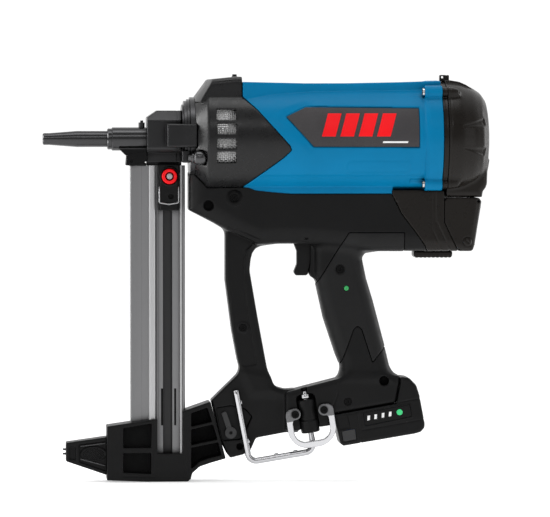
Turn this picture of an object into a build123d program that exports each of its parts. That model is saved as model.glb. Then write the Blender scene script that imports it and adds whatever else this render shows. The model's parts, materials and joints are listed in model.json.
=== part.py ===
from build123d import *
import os
from math import atan2, cos, degrees, radians, sin, sqrt

os.makedirs("parts", exist_ok=True)

# ---------------------------------------------------------------- driving dimensions (mm)
# +X runs to the rear along the drive axis, +Z is up, the left side of the tool is -Y.
# The origin is the centre of the muzzle mouth.
BORE_R = 3.3            # muzzle bore, for pins with heads up to 6 mm
PROBE_R = 7.75
PROBE_TRAVEL = 18.0
BARREL_R = 53.0         # outside of front shell and barrel housing
WALL = 3.2
BELLY_W = 27.0          # half widths of the moulded handle frame
GRIP_W = 17.0
PILLAR_W = 12.5
BRACKET_W = 11.0
BASE_W = 17.0
BAY_W = 27.5
SKIN = 2.6
RAIL_W = 8.5
SLIDE = 9.8             # degrees that the battery rail climbs to the rear
DIR = (cos(radians(SLIDE)), sin(radians(SLIDE)))


def plane_y(y):
    """XZ plane through y, sketch x = X, sketch y = Z, normal -Y."""
    return Plane(origin=(0, y, 0), x_dir=(1, 0, 0), z_dir=(0, -1, 0))


def face_xz(points, y=0.0):
    """Closed outline of (x, z) or (x, z, radius) points on the plane through y."""
    with BuildSketch(plane_y(y)) as s:
        with BuildLine():
            Polyline(*[(p[0], p[1]) for p in points], close=True)
        make_face()
        for r in sorted({p[2] for p in points if len(p) > 2 and p[2] > 0}):
            near = [
                v for v in s.vertices()
                if any(len(p) > 2 and p[2] == r and abs(v.X - p[0]) < 1e-4 and abs(v.Y - p[1]) < 1e-4 for p in points)
            ]
            fillet(near, r)
    return s.sketch


def slab(points, y0, y1, mode=Mode.ADD):
    """Prism of an XZ outline between two y values."""
    extrude(face_xz(points, y1), amount=y1 - y0, mode=mode)


def rod(x, y, z, r, length, axis="X", mode=Mode.ADD):
    """Cylinder that starts at the point and runs along +axis."""
    z_dir = {"X": (1, 0, 0), "Y": (0, 1, 0), "Z": (0, 0, 1)}[axis]
    x_dir = (0, 1, 0) if axis == "X" else (1, 0, 0)
    with BuildSketch(Plane(origin=(x, y, z), x_dir=x_dir, z_dir=z_dir)) as s:
        Circle(r)
    extrude(s.sketch, amount=length, mode=mode)


def block(x0, x1, y0, y1, z0, z1, mode=Mode.ADD):
    with BuildSketch(Plane.XY.offset(z0)) as s:
        with Locations(((x0 + x1) / 2, (y0 + y1) / 2)):
            Rectangle(x1 - x0, y1 - y0)
    extrude(s.sketch, amount=z1 - z0, mode=mode)


def turned(points, mode=Mode.ADD):
    """Solid of revolution about the drive axis from (x, r) points."""
    with BuildSketch(plane_y(0)) as s:
        with BuildLine():
            Polyline(*points, close=True)
        make_face()
    revolve(s.sketch, axis=Axis.X, revolution_arc=360, mode=mode)


def bevel(builder, edges, widths):
    """Largest chamfer of the list that these edges take."""
    for w in widths:
        try:
            chamfer(edges, w)
            if builder.part.is_valid:
                return w
        except Exception:
            continue
    return 0


def soften(builder, edges, radii):
    """Largest fillet of the list that these edges take."""
    for r in radii:
        try:
            fillet(edges, r)
            if builder.part.is_valid:
                return r
        except Exception:
            continue
    return 0


def save(name, part):
    part.label = name
    export_step(part, "parts/" + name + ".step")


def xz_edges(builder, y):
    """Edges that lie in the plane through y."""
    return [
        e for e in builder.edges()
        if abs(e.bounding_box().min.Y - y) < 1e-3 and abs(e.bounding_box().max.Y - y) < 1e-3
    ]


# ================================================================ nose group
with BuildPart() as probe_tube:
    turned([(0, 4.7), (1.0, 5.7), (6.5, 5.7), (32.5, PROBE_R), (75.5, PROBE_R), (75.5, 9.3), (79.0, 9.3),
            (79.0, BORE_R), (0, BORE_R)])
save("probe_tube", probe_tube.part)

# Holder of the probe: round body, funnel below and two cheeks that carry the magazine's hook pin.
with BuildPart() as nose_holder:
    turned([(66, 10.6), (66.8, 11.2), (99.1, 11.2), (99.1, 9.7), (70, 9.7), (70, PROBE_R + 0.05), (66, PROBE_R + 0.05)])
    slab([(73, -8.5), (73, -9.6), (79.2, -15.6), (84, -15.9), (99.1, -16.2), (99.1, -8.5)], -9.3, 9.3)
    rod(70, 0, 0, 9.7, 29.1, "X", Mode.SUBTRACT)
    for sgn in (-1, 1):
        slab([(80.2, -14.8, 1), (79.4, -25.2, 0.8), (86.5, -25.2, 1.5), (92.5, -22.2, 2), (99.1, -21.6), (99.1, -14.0)],
             min(sgn * 8.4, sgn * 11.2), max(sgn * 8.4, sgn * 11.2))
    slab([(80.2, -14.8), (80.2, -15.9), (99.1, -16.2), (99.1, -12)], -11.2, 11.2)
    rod(70, 0, 0, 9.7, 29.1, "X", Mode.SUBTRACT)
    # Retaining collar of the probe and the nut on top.
    turned([(61.7, 9.2), (62.5, 10.1), (66.2, 10.1), (66.2, PROBE_R + 0.05), (61.7, PROBE_R + 0.05)])
    with BuildSketch(Plane.XY.offset(10.6)) as s:
        with Locations((94.8, 0)):
            RegularPolygon(3.0, 6)
    extrude(s.sketch, amount=5.2)
    rod(94.8, 0, 15.8, 1.5, 2.0, "Z")
    rod(84.6, -12, -21.2, 1.5, 24, "Y", Mode.SUBTRACT)
save("nose_holder", nose_holder.part)

# Nose block with the pin chamber, the driver bore and two slots for the linkage bars.
with BuildPart() as nose_block:
    slab([(99.3, -12.7), (99.3, 20.8), (108.9, 27.3), (132.8, 27.3), (132.8, -12.7)], -19, 19)
    top = [e for e in nose_block.edges().filter_by(Axis.X) if abs(e.center().Z - 27.3) < 0.1]
    chamfer(top, 9.4)
    low = [e for e in nose_block.edges().filter_by(Axis.X) if abs(e.center().Z + 12.7) < 0.1]
    chamfer(low, 3.6)
    block(99.3, 132.8, -8.0, 8.0, -22.6, -12.7)
    block(99.3, 132.8, -5.4, 5.4, -25.3, -22.6)
    block(99.3, 134.0, -3.5, 3.5, -26, 0, Mode.SUBTRACT)
    rod(99.3, 0, 0, 3.5, 40, "X", Mode.SUBTRACT)
    for sgn in (-1, 1):
        block(99.3, 133, min(sgn * 5.2, sgn * 8.3), max(sgn * 5.2, sgn * 8.3), -3.4, 3.4, Mode.SUBTRACT)
    # Raised boxes on both sides, which reach back past the flange.
    for sgn in (-1, 1):
        y0, y1 = sorted((sgn * 18.0, sgn * 42.0))
        slab([(117.7, -7.7, 1.2), (117.7, 14.3, 1.2), (146.4, 14.3), (146.4, -7.7)], y0, y1)
        bevel(nose_block, xz_edges(nose_block, sgn * 42.0), [1.2, 0.8])
save("nose_block", nose_block.part)

with BuildPart() as front_flange:
    turned([(132.85, 4.0), (132.85, 33), (134.7, 33), (134.7, 36.6), (137.6, 36.6), (137.6, 38.2), (139.5, 38.2),
            (139.5, 37.2), (140.4, 37.2), (140.4, 40.1), (144.75, 40.1), (144.75, 4.0)])
    block(130, 140.4, -50, 50, -50, -12.8, Mode.SUBTRACT)
    for sgn in (-1, 1):
        y0, y1 = sorted((sgn * 17.9, sgn * 45.0))
        block(117, 147, y0, y1, -7.8, 14.4, Mode.SUBTRACT)
        block(130, 147, min(sgn * 5.2, sgn * 8.3), max(sgn * 5.2, sgn * 8.3), -3.4, 3.4, Mode.SUBTRACT)
        rod(130, sgn * 38.5, -17.6, 3.5, 20, "X", Mode.SUBTRACT)
save("front_flange", front_flange.part)

with BuildPart() as side_cap_nuts:
    for sgn in (-1, 1):
        rod(137.5, sgn * 43.0, -17.6, 3.2, 5.6, "X")
        rod(139.0, sgn * 43.0, -17.6, 4.6, 2.2, "X")
        rod(143.0, sgn * 43.0, -17.6, 6.2, 11.0, "X")
        ends = [e for e in side_cap_nuts.edges().filter_by(GeomType.CIRCLE)
                if e.center().Y * sgn > 0 and (abs(e.center().X - 154) < 0.01 or abs(e.center().X - 143) < 0.01)
                and e.radius > 6]
        soften(side_cap_nuts, ends, [2.6, 1.5])
save("side_cap_nuts", side_cap_nuts.part)

# ================================================================ barrel group
CHEVRON = [(120, 70), (189.5, 70), (189.5, 40.4), (203, 27.9), (234.3, -6.7, 2), (235.2, -10.6, 1.5), (227.7, -17.6, 3),
           (191.2, -44.6), (189.5, -46.5), (189.5, -70), (120, -70)]
VENTS = [(17.9, 28.0), (5.1, 14.7), (-9.3, 0.7), (-22.1, -11.8)]

with BuildPart() as front_shell:
    turned([(144.8, 4), (144.8, 40.1), (156.8, BARREL_R), (240, BARREL_R), (240, 4)])
    slab([(144.8, 35), (144.8, 40.5), (156.8, 57, 1.0), (180, 59.2, 20), (189.5, 59.6), (189.5, 35)], -35, 35)
    top = [e for e in front_shell.edges() if e.bounding_box().min.Z > 38 and abs(abs(e.center().Y) - 35) < 0.01]
    soften(front_shell, top, [9, 7, 5, 3])
    turned([(144, 0), (144, 30), (147.6, 38.6), (158, BARREL_R - WALL), (245, BARREL_R - WALL), (245, 0)], Mode.SUBTRACT)
    slab(CHEVRON, -60, 60, Mode.INTERSECT)
    for z0, z1 in VENTS:
        for sgn in (-1, 1):
            block(164.5, 183, min(sgn * 34, sgn * 60), max(sgn * 34, sgn * 60), z0, z1, Mode.SUBTRACT)
    for sgn in (-1, 1):
        rod(140, sgn * 43.0, -17.6, 6.5, 14.6, "X", Mode.SUBTRACT)
        block(117, 146.6, min(sgn * 18, sgn * 45), max(sgn * 18, sgn * 45), -7.9, 14.5, Mode.SUBTRACT)
    rod(183.9, 0, 56, 2.4, 6.15, "Z")
save("front_shell", front_shell.part)

with BuildPart() as vent_mesh:
    turned([(162, 48.6), (162, 49.6), (186, 49.6), (186, 48.6)])
save("vent_mesh", vent_mesh.part)

LABEL = [(229.9, 21.6), (249.1, 30.9), (357.5, 29.6), (357.5, -7.7), (256.3, -7.4)]
LABEL_IN = [(230.9, 21.4), (249.3, 30.3), (357.0, 29.1), (357.0, -7.2), (256.6, -6.9)]
with BuildPart() as label_zone:
    slab(LABEL, -60, -20)
    slab(LABEL, 20, 60)
    turned([(220, 51.6), (220, 62), (370, 62), (370, 51.6)], Mode.INTERSECT)

with BuildPart() as barrel_housing:
    with BuildSketch(Plane.YZ.offset(189.5)) as s:
        Circle(BARREL_R)
        with Locations((0, 42)):
            Rectangle(34, 25)
    extrude(s.sketch, amount=190.9)
    block(189.5, 333.2, -BELLY_W, BELLY_W, -52.9, -30)
    # The spine widens towards the front.
    with BuildSketch(Plane.XY.offset(36)) as s:
        with BuildLine():
            Polyline((189.5, -35), (203, -33), (222, -24), (250, -17.2), (250, 17.2), (222, 24), (203, 33), (189.5, 35), close=True)
        make_face()
    extrude(s.sketch, amount=18.5)
    # Rear flange and screw bosses.
    turned([(363.6, 0), (363.6, 54), (366.5, 56.2), (380.4, 56.2), (380.4, 0)])
    for y in (-36, 36):
        for z in (44.5, -42.5):
            rod(363.6, y, z, 6.6, 16.8, "X")
    rod(180, 0, 0, BARREL_R - WALL, 210, "X", Mode.SUBTRACT)
    slab(CHEVRON, -60, 60, Mode.SUBTRACT)
    # The lower corners step down towards the front.
    slab([(185, -44.6), (190.5, -44.6), (203, -49.5), (237.6, -52.9), (237.6, -60), (185, -60)], -60, 60, Mode.SUBTRACT)
    # Recesses for the side plates and the screws.
    add(label_zone.part, mode=Mode.SUBTRACT)
    for sgn in (-1, 1):
        for z in (44.5, -42.5):
            rod(360, sgn * 36, z, 2.2, 30, "X", Mode.SUBTRACT)
            rod(355, sgn * 36, z, 4.6, 10.6, "X", Mode.SUBTRACT)
save("barrel_housing", barrel_housing.part)

# Side plates that follow the barrel's curve.
with BuildPart() as side_plates:
    slab(LABEL_IN, -60, -20)
    slab(LABEL_IN, 20, 60)
    turned([(220, 51.6), (220, 52.5), (370, 52.5), (370, 51.6)], Mode.INTERSECT)
save("side_plates", side_plates.part)

CAP_OUT = [(385.8, 56.0), (390.2, 55.6), (399.2, 54.4), (412.2, 49.4), (420.2, 44.0), (425.1, 37.0), (427.2, 27), (428.7, 9), (428.7, 0)]
with BuildPart() as rear_gasket:
    turned([(380.45, 54.2), (380.45, 55.4), (385.75, 55.4), (385.75, 54.2), (385.75, 50), (380.45, 50)])
    slab([(380.45, -53), (380.45, -55.0), (385.75, -55.0), (385.75, -53)], -24, 24)
    turned([(378, 0), (378, 50), (388, 50), (388, 0)], Mode.SUBTRACT)
    for y in (-36, 36):
        for z in (44.5, -42.5):
            rod(380, y, z, 2.1, 6, "X", Mode.SUBTRACT)
save("rear_gasket", rear_gasket.part)

with BuildPart() as rear_cap:
    turned([(385.8, 0)] + CAP_OUT)
    slab([(385.8, -20), (427.6, -22), (425.4, -31.3), (425.2, -42.9), (423.9, -46.6), (421.2, -50.2), (420.3, -55.4), (385.8, -55.4)],
         -BAY_W, BAY_W)
    slab([(385.8, 50), (385.8, 56.6), (390.2, 56.5), (399.2, 54.9), (405, 50)], -14, 14)
    for y in (-36, 36):
        for z in (44.5, -42.5):
            rod(385.8, y, z, 6.4, 14, "X")
    turned([(385.7, 0), (385.7, 50), (396, 50), (410, 45.5), (416.5, 41), (421, 34), (423.4, 25), (424.8, 9), (424.8, 0)], Mode.SUBTRACT)
    for y in (-36, 36):
        for z in (44.5, -42.5):
            rod(385.7, y, z, 2.0, 11, "X", Mode.SUBTRACT)
    # Lanyard lug.
    slab([(385.8, 55), (385.8, 57.0), (382.0, 57.2, 0.5), (381.6, 61.2, 1.0), (390.2, 61.6, 1.0), (390.6, 55.0)], -4, 4)
    rod(384.2, -5, 59.3, 1.0, 10, "Y", Mode.SUBTRACT)
    # Wedge-shaped grip scallops on both sides.
    for sgn in (-1, 1):
        slab([(398, 13.5), (421, 20.5), (421, 11), (399.5, 11.5)], *sorted((sgn * 50.8, sgn * 60)), Mode.SUBTRACT)
        slab([(399.5, -7.5), (421, -7.5), (421, -16.5), (398, -9.5)], *sorted((sgn * 50.8, sgn * 60)), Mode.SUBTRACT)
save("rear_cap", rear_cap.part)

with BuildPart() as rear_cap_screws:
    for y in (-36, 36):
        for z in (44.5, -42.5):
            rod(361.6, y, z, 4.2, 4.0, "X")
            rod(365.6, y, z, 1.95, 30, "X")
            with BuildSketch(Plane.YZ.offset(361.6)) as s:
                with Locations((y, z)):
                    RegularPolygon(2.2, 6)
            extrude(s.sketch, amount=2.0, mode=Mode.SUBTRACT)
save("rear_cap_screws", rear_cap_screws.part)

# ================================================================ combustion unit
LINER_R, LINER_RI = 21.5, 19.0
with BuildPart() as driver_guide:
    turned([(144.8, 3.3), (144.8, 3.9), (148, 3.9), (150, 5.0), (180, 5.0), (180, 46.0), (182.5, 46.0), (182.5, 24), (186, 24), (186, 3.3)])
    for sgn in (-1, 1):
        rod(178, sgn * 27.0, 0, 2.6, 6, "X", Mode.SUBTRACT)
save("driver_guide", driver_guide.part)

with BuildPart() as cylinder_liner:
    turned([(186.05, LINER_RI), (186.05, LINER_R), (332, LINER_R), (332, LINER_RI)])
save("cylinder_liner", cylinder_liner.part)

with BuildPart() as bumper:
    turned([(186.1, 3.7), (186.1, 18.8), (190, 18.8), (195.5, 15.5), (195.5, 3.7)])
save("bumper", bumper.part)

with BuildPart() as piston:
    turned([(318, 0), (318, 14), (321, 18.7), (331.5, 18.7), (331.5, 0)])
    turned([(316, 2.0), (316, 7), (318.5, 7), (318.5, 2.0)])
    turned([(326, 17.4), (326, 19), (328.2, 19), (328.2, 17.4)], Mode.SUBTRACT)
    turned([(313, 0), (313, 3.0), (322, 3.0), (322, 0)], Mode.SUBTRACT)
save("piston", piston.part)

with BuildPart() as driver_blade:
    rod(141, 0, 0, 3.0, 181, "X")
save("driver_blade", driver_blade.part)

with BuildPart() as combustion_sleeve:
    turned([(262, LINER_R + 0.1), (262, 38.5), (334, 38.5), (334, 36.0), (266, 36.0), (266, LINER_R + 0.1)])
    for sgn in (-1, 1):
        rod(260, sgn * 27.0, 0, 2.0, 8, "X", Mode.SUBTRACT)
save("combustion_sleeve", combustion_sleeve.part)

# Linkage that joins the probe to the combustion sleeve.
with BuildPart() as lift_linkage:
    for sgn in (-1, 1):
        block(79.0, 160, min(sgn * 5.5, sgn * 8.0), max(sgn * 5.5, sgn * 8.0), -3.0, 3.0)
        rod(150.5, sgn * 27.0, 0, 2.0, 115.4, "X")
    turned([(156, 5.3), (156, 16), (159.5, 16), (159.5, 5.3)])
    block(156, 159.5, -30, 30, -6, 6)
    rod(150, 0, 0, 5.3, 12, "X", Mode.SUBTRACT)
    rod(70, 0, 0, 4.0, 86, "X", Mode.SUBTRACT)
save("lift_linkage", lift_linkage.part)

with BuildPart() as nose_spring:
    turned([(159.6, 9.5), (159.6, 12.0), (179.9, 12.0), (179.9, 9.5)])
save("nose_spring", nose_spring.part)

with BuildPart() as cylinder_head:
    turned([(353, 0), (353, 35.6), (355, 35.6), (355, 40), (359, 40), (359, 46), (362, 46), (362, 0)])
    turned([(350, 0), (350, 1.6), (365, 1.6), (365, 0)], Mode.SUBTRACT)
    rod(352, 0, 22, 3.0, 12, "X", Mode.SUBTRACT)
    rod(352, 0, -24, 2.6, 12, "X", Mode.SUBTRACT)
save("cylinder_head", cylinder_head.part)

with BuildPart() as spark_plug:
    rod(347, 0, 22, 1.2, 6, "X")
    rod(352.5, 0, 22, 2.95, 16, "X")
    rod(362.05, 0, 22, 5.0, 4.5, "X")
save("spark_plug", spark_plug.part)

with BuildPart() as fan_motor:
    rod(362.05, 0, 0, 14.0, 30, "X")
    rod(392.0, 0, 0, 5.0, 3, "X")
    rod(362, 0, 0, 1.6, 33, "X", Mode.SUBTRACT)
save("fan_motor", fan_motor.part)

with BuildPart() as fan:
    rod(340, 0, 0, 1.55, 45, "X")
    rod(341, 0, 0, 5.0, 8, "X")
    for k in range(4):
        with BuildSketch(Plane(origin=(345, 0, 0), x_dir=(0, cos(radians(90 * k + 45)), sin(radians(90 * k + 45))),
                               z_dir=(0, -sin(radians(90 * k + 45)), cos(radians(90 * k + 45))))) as s:
            with Locations((14, 0)):
                Rectangle(22, 5.5, rotation=0)
        extrude(s.sketch, amount=0.9, both=True)
save("fan", fan.part)

# ================================================================ handle frame (two half shells)
BELLY = [(139.5, -26), (139.5, -68.1, 2.5), (163.5, -80.6, 12), (176, -88), (205, -101.5, 8), (224, -100.3, 10), (245.3, -100.3, 10),
         (286.7, -103.7, 20), (311.7, -107.3, 20), (390, -107.6), (390, -26)]
GRIP = [(258.8, -70), (258.8, -127.8, 6), (261.7, -137.4, 6), (269.4, -172.0, 30), (280.9, -206.6, 30), (285.7, -218.2, 12),
        (283.0, -236), (347, -238), (339.5, -231, 5), (332.9, -218.2, 8), (328.5, -200, 30), (316.5, -154.7, 30), (310.2, -134.0, 15),
        (306.2, -114.5, 6), (309.0, -108.7, 3), (316, -106.8), (326, -103), (326, -70)]
PILLAR = [(174.6, -70), (174.6, -135.6, 20), (180.9, -183.7, 30), (186.2, -212, 20), (189.4, -223.5), (200, -246), (232, -246),
          (219.3, -235.7, 8), (214.5, -218.4, 10), (205.9, -172.2, 30), (198.0, -126, 20), (199.3, -113, 10), (206, -105, 10), (226, -98.0), (226, -70)]
BRACKET = [(160.9, -250.6), (189.4, -222.9, 2), (216, -228, 6), (221.5, -240, 6), (240, -240.8), (244, -243), (244, -281.5), (235.7, -281.2, 3), (204, -287.1, 4), (198.7, -299.0, 4),
           (191.8, -303.0, 3), (179.3, -306.2, 2), (176, -302.1, 2), (170.8, -291.5, 3)]
BASE = [(232, -243.0, 5), (281, -230.5, 10), (291.5, -228.0, 10), (342.2, -227.2, 2), (342.2, -233.6, 1), (338.5, -253.0, 2), (336.6, -254.1),
        (277.8, -264.3), (276, -275), (235.7, -281.0, 4), (232, -279, 1)]
SLEEVE_TOP = (250.1, -14.0, -241.5)
SLEEVE_DIR = (7.7 / sqrt(7.7**2 + 48.1**2), 0.0, -48.1 / sqrt(7.7**2 + 48.1**2))


U = (cos(radians(8.9)), sin(radians(8.9)))


def ring(u, v):
    return (254.7 + u * U[0] - v * U[1], -261.7 + u * U[1] + v * U[0])


RING_EYES = [ring(-14.0, 0), ring(14.0, 0)]


def sleeve_plane(distance):
    return Plane(origin=tuple(SLEEVE_TOP[i] + SLEEVE_DIR[i] * distance for i in range(3)), x_dir=(0, 1, 0), z_dir=SLEEVE_DIR)


def shell_region(points, width, radii):
    """One rounded region of the left half, from y = -width to y = 0."""
    with BuildPart() as region:
        slab(points, -width, 0)
        bevel(region, xz_edges(region, -width), radii)
    return region.part


def inner_region(points, width):
    """The room inside a region, one skin away from its outline."""
    with BuildPart() as room:
        shrunk = offset(face_xz(points, 1), amount=-SKIN, kind=Kind.INTERSECTION, mode=Mode.PRIVATE)
        extrude(shrunk, amount=width - SKIN + 1)
    return room.part


regions = [(BELLY, BELLY_W, [6, 4, 2.4]), (GRIP, GRIP_W, [5, 3.5, 2]), (PILLAR, PILLAR_W, [3.5, 2.5, 1.5]),
           (BRACKET, BRACKET_W, [1.5, 1]), (BASE, BASE_W, [2.5, 1.5])]
solids = [shell_region(*r) for r in regions]
rooms = [inner_region(r[0], r[1]) for r in regions]

GRIP_PAD = [(268.8, -139, 3), (292.8, -92.5, 4), (305, -92.5, 3), (302.5, -114, 6), (306.5, -137, 12), (312.8, -156, 30), (325, -198, 4),
            (316.4, -212.0, 2), (306.6, -182, 2), (303, -180, 1), (298.2, -182.5, 2), (288.4, -212, 3), (273.5, -172, 30)]
LEVER_RECESS = [(171.5, -290.0, 3), (165.5, -257.8, 1), (180, -255.5, 6), (194, -259.0, 3), (200.5, -266.5, 2), (190, -288.5, 4)]
SCREWS = [(182.3, -56.0, 3.6, BELLY_W), (284.4, -124.8, 3.6, GRIP_W), (191.4, -180.7, 3.4, PILLAR_W), (292, -252, 3.4, BASE_W)]
# (x, z, recess radius, surface half width)

with BuildPart() as handle_shell_left:
    for p in solids:
        add(p)
    for p in rooms:
        add(p, mode=Mode.SUBTRACT)
    # Bosses for the screws.
    for x, z, r, w in SCREWS:
        rod(x, -w + 0.3, z, 5.6, w - 0.3, "Y")
    # Seats of the barrel group and the flange.
    turned([(120, 0), (120, 40.4), (144.9, 40.4), (156.8, BARREL_R + 0.1), (400, BARREL_R + 0.1), (400, 0)], Mode.SUBTRACT)
    block(120, 136.4, -40, 1, -60, 0, Mode.SUBTRACT)
    # Under the barrel housing's flat underside.
    slab([(190.3, -20), (190.3, -44.9), (203, -49.7), (237.6, -53.1), (400, -53.1), (400, -20)], -60, 1, Mode.SUBTRACT)
    # The fuel bay's slanted seam.
    slab([(331.6, -40), (331.6, -50), (342.6, -71.5), (356.6, -89.8), (366.2, -103.0), (368.2, -112), (420, -112), (420, -40)], -60, 1, Mode.SUBTRACT)
    # Rear mouth for the battery and its groove.
    slab([(277.8, -264.4), (336.6, -254.2), (338.6, -253.0), (342.3, -233.6), (342.3, -227.3), (344.5, -215), (400, -215), (400, -300), (277, -300), (275.8, -276)],
         -60, 1, Mode.SUBTRACT)
    slab([(262, -280), (262, -263.6), (345.5, -249.2), (345.5, -280)], -8.4, 1, Mode.SUBTRACT)
    # Trigger slot.
    block(236, 262.6, -6.5, 1, -132.5, -86, Mode.SUBTRACT)
    # Seat of the hook sleeve.
    with BuildSketch(sleeve_plane(-4)) as s:
        Circle(9.3)
    extrude(s.sketch, amount=60, mode=Mode.SUBTRACT)
    # Recess of the lock lever and its pin.
    slab(LEVER_RECESS, -20, -8.2, Mode.SUBTRACT)
    slab(LEVER_RECESS, -8.2, -6.2)
    rod(179.8, -20, -282, 1.55, 16, "Y", Mode.SUBTRACT)
    # Hollow for the grip pad.
    slab(GRIP_PAD, -20, -GRIP_W + 1.4, Mode.SUBTRACT)
    # Screw holes with recesses.
    for x, z, r, w in SCREWS:
        rod(x, -w - 1, z, r, 4.0, "Y", Mode.SUBTRACT)
        rod(x, -w, z, 1.5, w + 1, "Y", Mode.SUBTRACT)
    rod(157.8, -30, -63.3, 4.9, 8, "Y", Mode.SUBTRACT)
    rod(188.4, -30, -295.2, 3.2, 27, "Y", Mode.SUBTRACT)
    rod(326.9, -30, -232.2, 4.6, 18, "Y", Mode.SUBTRACT)
    # Power light.
    rod(290.5, -20, -143.1, 2.4, 10, "Y", Mode.SUBTRACT)
    # Stand-offs of the ring and their screw holes.
    for x, z in RING_EYES:
        rod(x, -19.35, z, 4.4, 4.0, "Y")
        rod(x, -20, z, 1.95, 12, "Y", Mode.SUBTRACT)
    rod(251.5, -20, -94.5, 1.6, 25, "Y", Mode.SUBTRACT)

save("handle_shell_left", handle_shell_left.part)

# The right half has blind nut seats and no lever recess.
with BuildPart() as handle_shell_right:
    add(mirror(handle_shell_left.part, about=Plane.XZ, mode=Mode.PRIVATE))
    slab(LEVER_RECESS, 8.2, BRACKET_W)
save("handle_shell_right", handle_shell_right.part)


with BuildPart() as grip_pads:
    for sgn in (-1, 1):
        slab(GRIP_PAD, *sorted((sgn * (GRIP_W - 1.38), sgn * (GRIP_W + 0.5))))
    # Room for the power light and the housing screw.
    rod(284.4, -GRIP_W - 1, -124.8, 5.2, 2 * GRIP_W + 2, "Y", Mode.SUBTRACT)
    rod(290.5, -GRIP_W - 1, -143.1, 2.45, 3, "Y", Mode.SUBTRACT)
save("grip_pads", grip_pads.part)

with BuildPart() as power_led:
    rod(290.5, -17.6, -143.1, 2.35, 6, "Y")
    soften(power_led, [e for e in power_led.edges().filter_by(GeomType.CIRCLE) if abs(e.center().Y + 17.6) < 0.01], [0.8, 0.5])
save("power_led", power_led.part)

# ================================================================ trigger and electronics
with BuildPart() as trigger:
    slab([(241.5, -88.5, 2), (240.5, -99.6, 2), (243.7, -107.7, 5), (243.7, -120.3, 5), (240.6, -128, 3), (242.8, -131.1, 1.5),
          (254.0, -131.1, 3), (258.2, -114.5, 8), (257.6, -104.6, 2), (260.4, -100.0, 1), (259, -88.5, 2)], -5.9, 5.9)
    ends = [e for e in trigger.edges() if abs(abs(e.center().Y) - 5.9) < 0.01 and e.center().Z < -98 and e.center().X < 250]
    bevel(trigger, ends, [1.2, 0.8])
    rod(251.5, -7, -94.5, 1.65, 14, "Y", Mode.SUBTRACT)
save("trigger", trigger.part)

with BuildPart() as trigger_switch:
    block(266.8, 278.2, -6, 6, -122, -105.5)
    block(269, 270.4, -5, -3.6, -105.5, -101.5)
    block(274, 275.4, -5, -3.6, -105.5, -101.5)
    rod(265.0, 0, -114, 1.6, 1.9, "X")
save("trigger_switch", trigger_switch.part)

with BuildPart() as trigger_spring:
    rod(260.9, 0, -104.5, 1.9, 5.6, "X")
    rod(260.9, 0, -104.5, 1.2, 5.6, "X", Mode.SUBTRACT)
save("trigger_spring", trigger_spring.part)

with BuildPart() as control_board:
    slab([(287, -160), (301, -160), (316, -205), (303, -210)], -1.0, 0.8)
    slab([(292, -166), (301, -166), (304, -176), (295, -176)], -4.5, -1.0)
    slab([(298, -184), (306, -184), (309, -196), (301, -196)], -3.0, -1.0)
    rod(304, 0.8, -200, 3.0, 8, "Y")
save("control_board", control_board.part)

# ================================================================ fuel system
BAY = [(331.6, -50.2), (342.6, -71.5), (356.6, -89.8), (366.2, -103.0), (367.6, -107.8), (397.2, -107.8), (383.8, -79.7), (383.8, -56.6),
       (363.5, -56.6), (363.5, -50.2)]
HINGE = (416.8, -59.7)
with BuildPart() as fuel_bay:
    slab([(333.8, -53.3), (342.9, -71.4), (356.8, -89.8), (366.4, -103.0), (368.0, -107.8), (397.2, -107.8), (383.8, -79.7), (383.8, -56.6),
          (363.3, -56.6), (363.3, -53.3)], -BAY_W, BAY_W)
    slab([(333.4, -49.9), (333.8, -53.5), (363.3, -53.5), (363.3, -49.9)], -BAY_W, BAY_W)
    for sgn in (-1, 1):
        bevel(fuel_bay, [e for e in xz_edges(fuel_bay, sgn * BAY_W) if e.center().Z < -70], [2.0, 1.0])
    slab([(380, -56.6), (380, -59.2), (411.4, -59.2), (411.4, -56.6)], -22, 22)
    for y in (-16, 8):
        rod(HINGE[0], y, HINGE[1], 3.2, 8, "Y")
        slab([(408, -56.7), (408, -60.5), (HINGE[0], -60.5), (HINGE[0], -56.7)], y, y + 8)
    # Tunnel for the fuel cell, open to the front and to the door.
    rod(320, 0, -79.5, 15.3, 80, "X", Mode.SUBTRACT)
    rod(HINGE[0], -30, HINGE[1], 1.4, 60, "Y", Mode.SUBTRACT)
    turned([(330, 0), (330, BARREL_R + 0.1), (363.4, BARREL_R + 0.1), (363.4, 0)], Mode.SUBTRACT)
    # Slot for the door latch.
    block(368.5, 394, -6.2, 6.2, -108, -104.4, Mode.SUBTRACT)
save("fuel_bay", fuel_bay.part)

with BuildPart() as fuel_door:
    slab([(384.1, -59.0, 2.0), (386.6, -56.1, 1.0), (HINGE[0] + 0.6, -56.3, 2.8), (420.1, -59.9, 1.5), (419.3, -66.4), (417.1, -78.9), (413.5, -101.8, 3), (411, -107.8, 2.5), (397.6, -107.8),
          (384.1, -79.8)], -BAY_W, BAY_W)
    for sgn in (-1, 1):
        bevel(fuel_door, [e for e in xz_edges(fuel_door, sgn * BAY_W) if e.center().X > 400 or e.center().Z < -100], [1.6, 1.0])
    slab([(380, -40), (380, -79.8), (395.5, -112), (400, -105.2), (409, -105.2), (411.0, -101), (414.4, -78.9), (416.4, -63.4), (413.2, -63.4), (413.2, -40)],
         -BAY_W + 2.6, BAY_W - 2.6, Mode.SUBTRACT)
    for y in (-16.3, 7.7):
        block(405, 425, y, y + 8.6, -63.3, -50, Mode.SUBTRACT)
    rod(HINGE[0], -30, HINGE[1], 1.45, 60, "Y", Mode.SUBTRACT)
    rod(406.4, -28.1, -98.4, 3.4, 1.5, "Y")
save("fuel_door", fuel_door.part)

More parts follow.
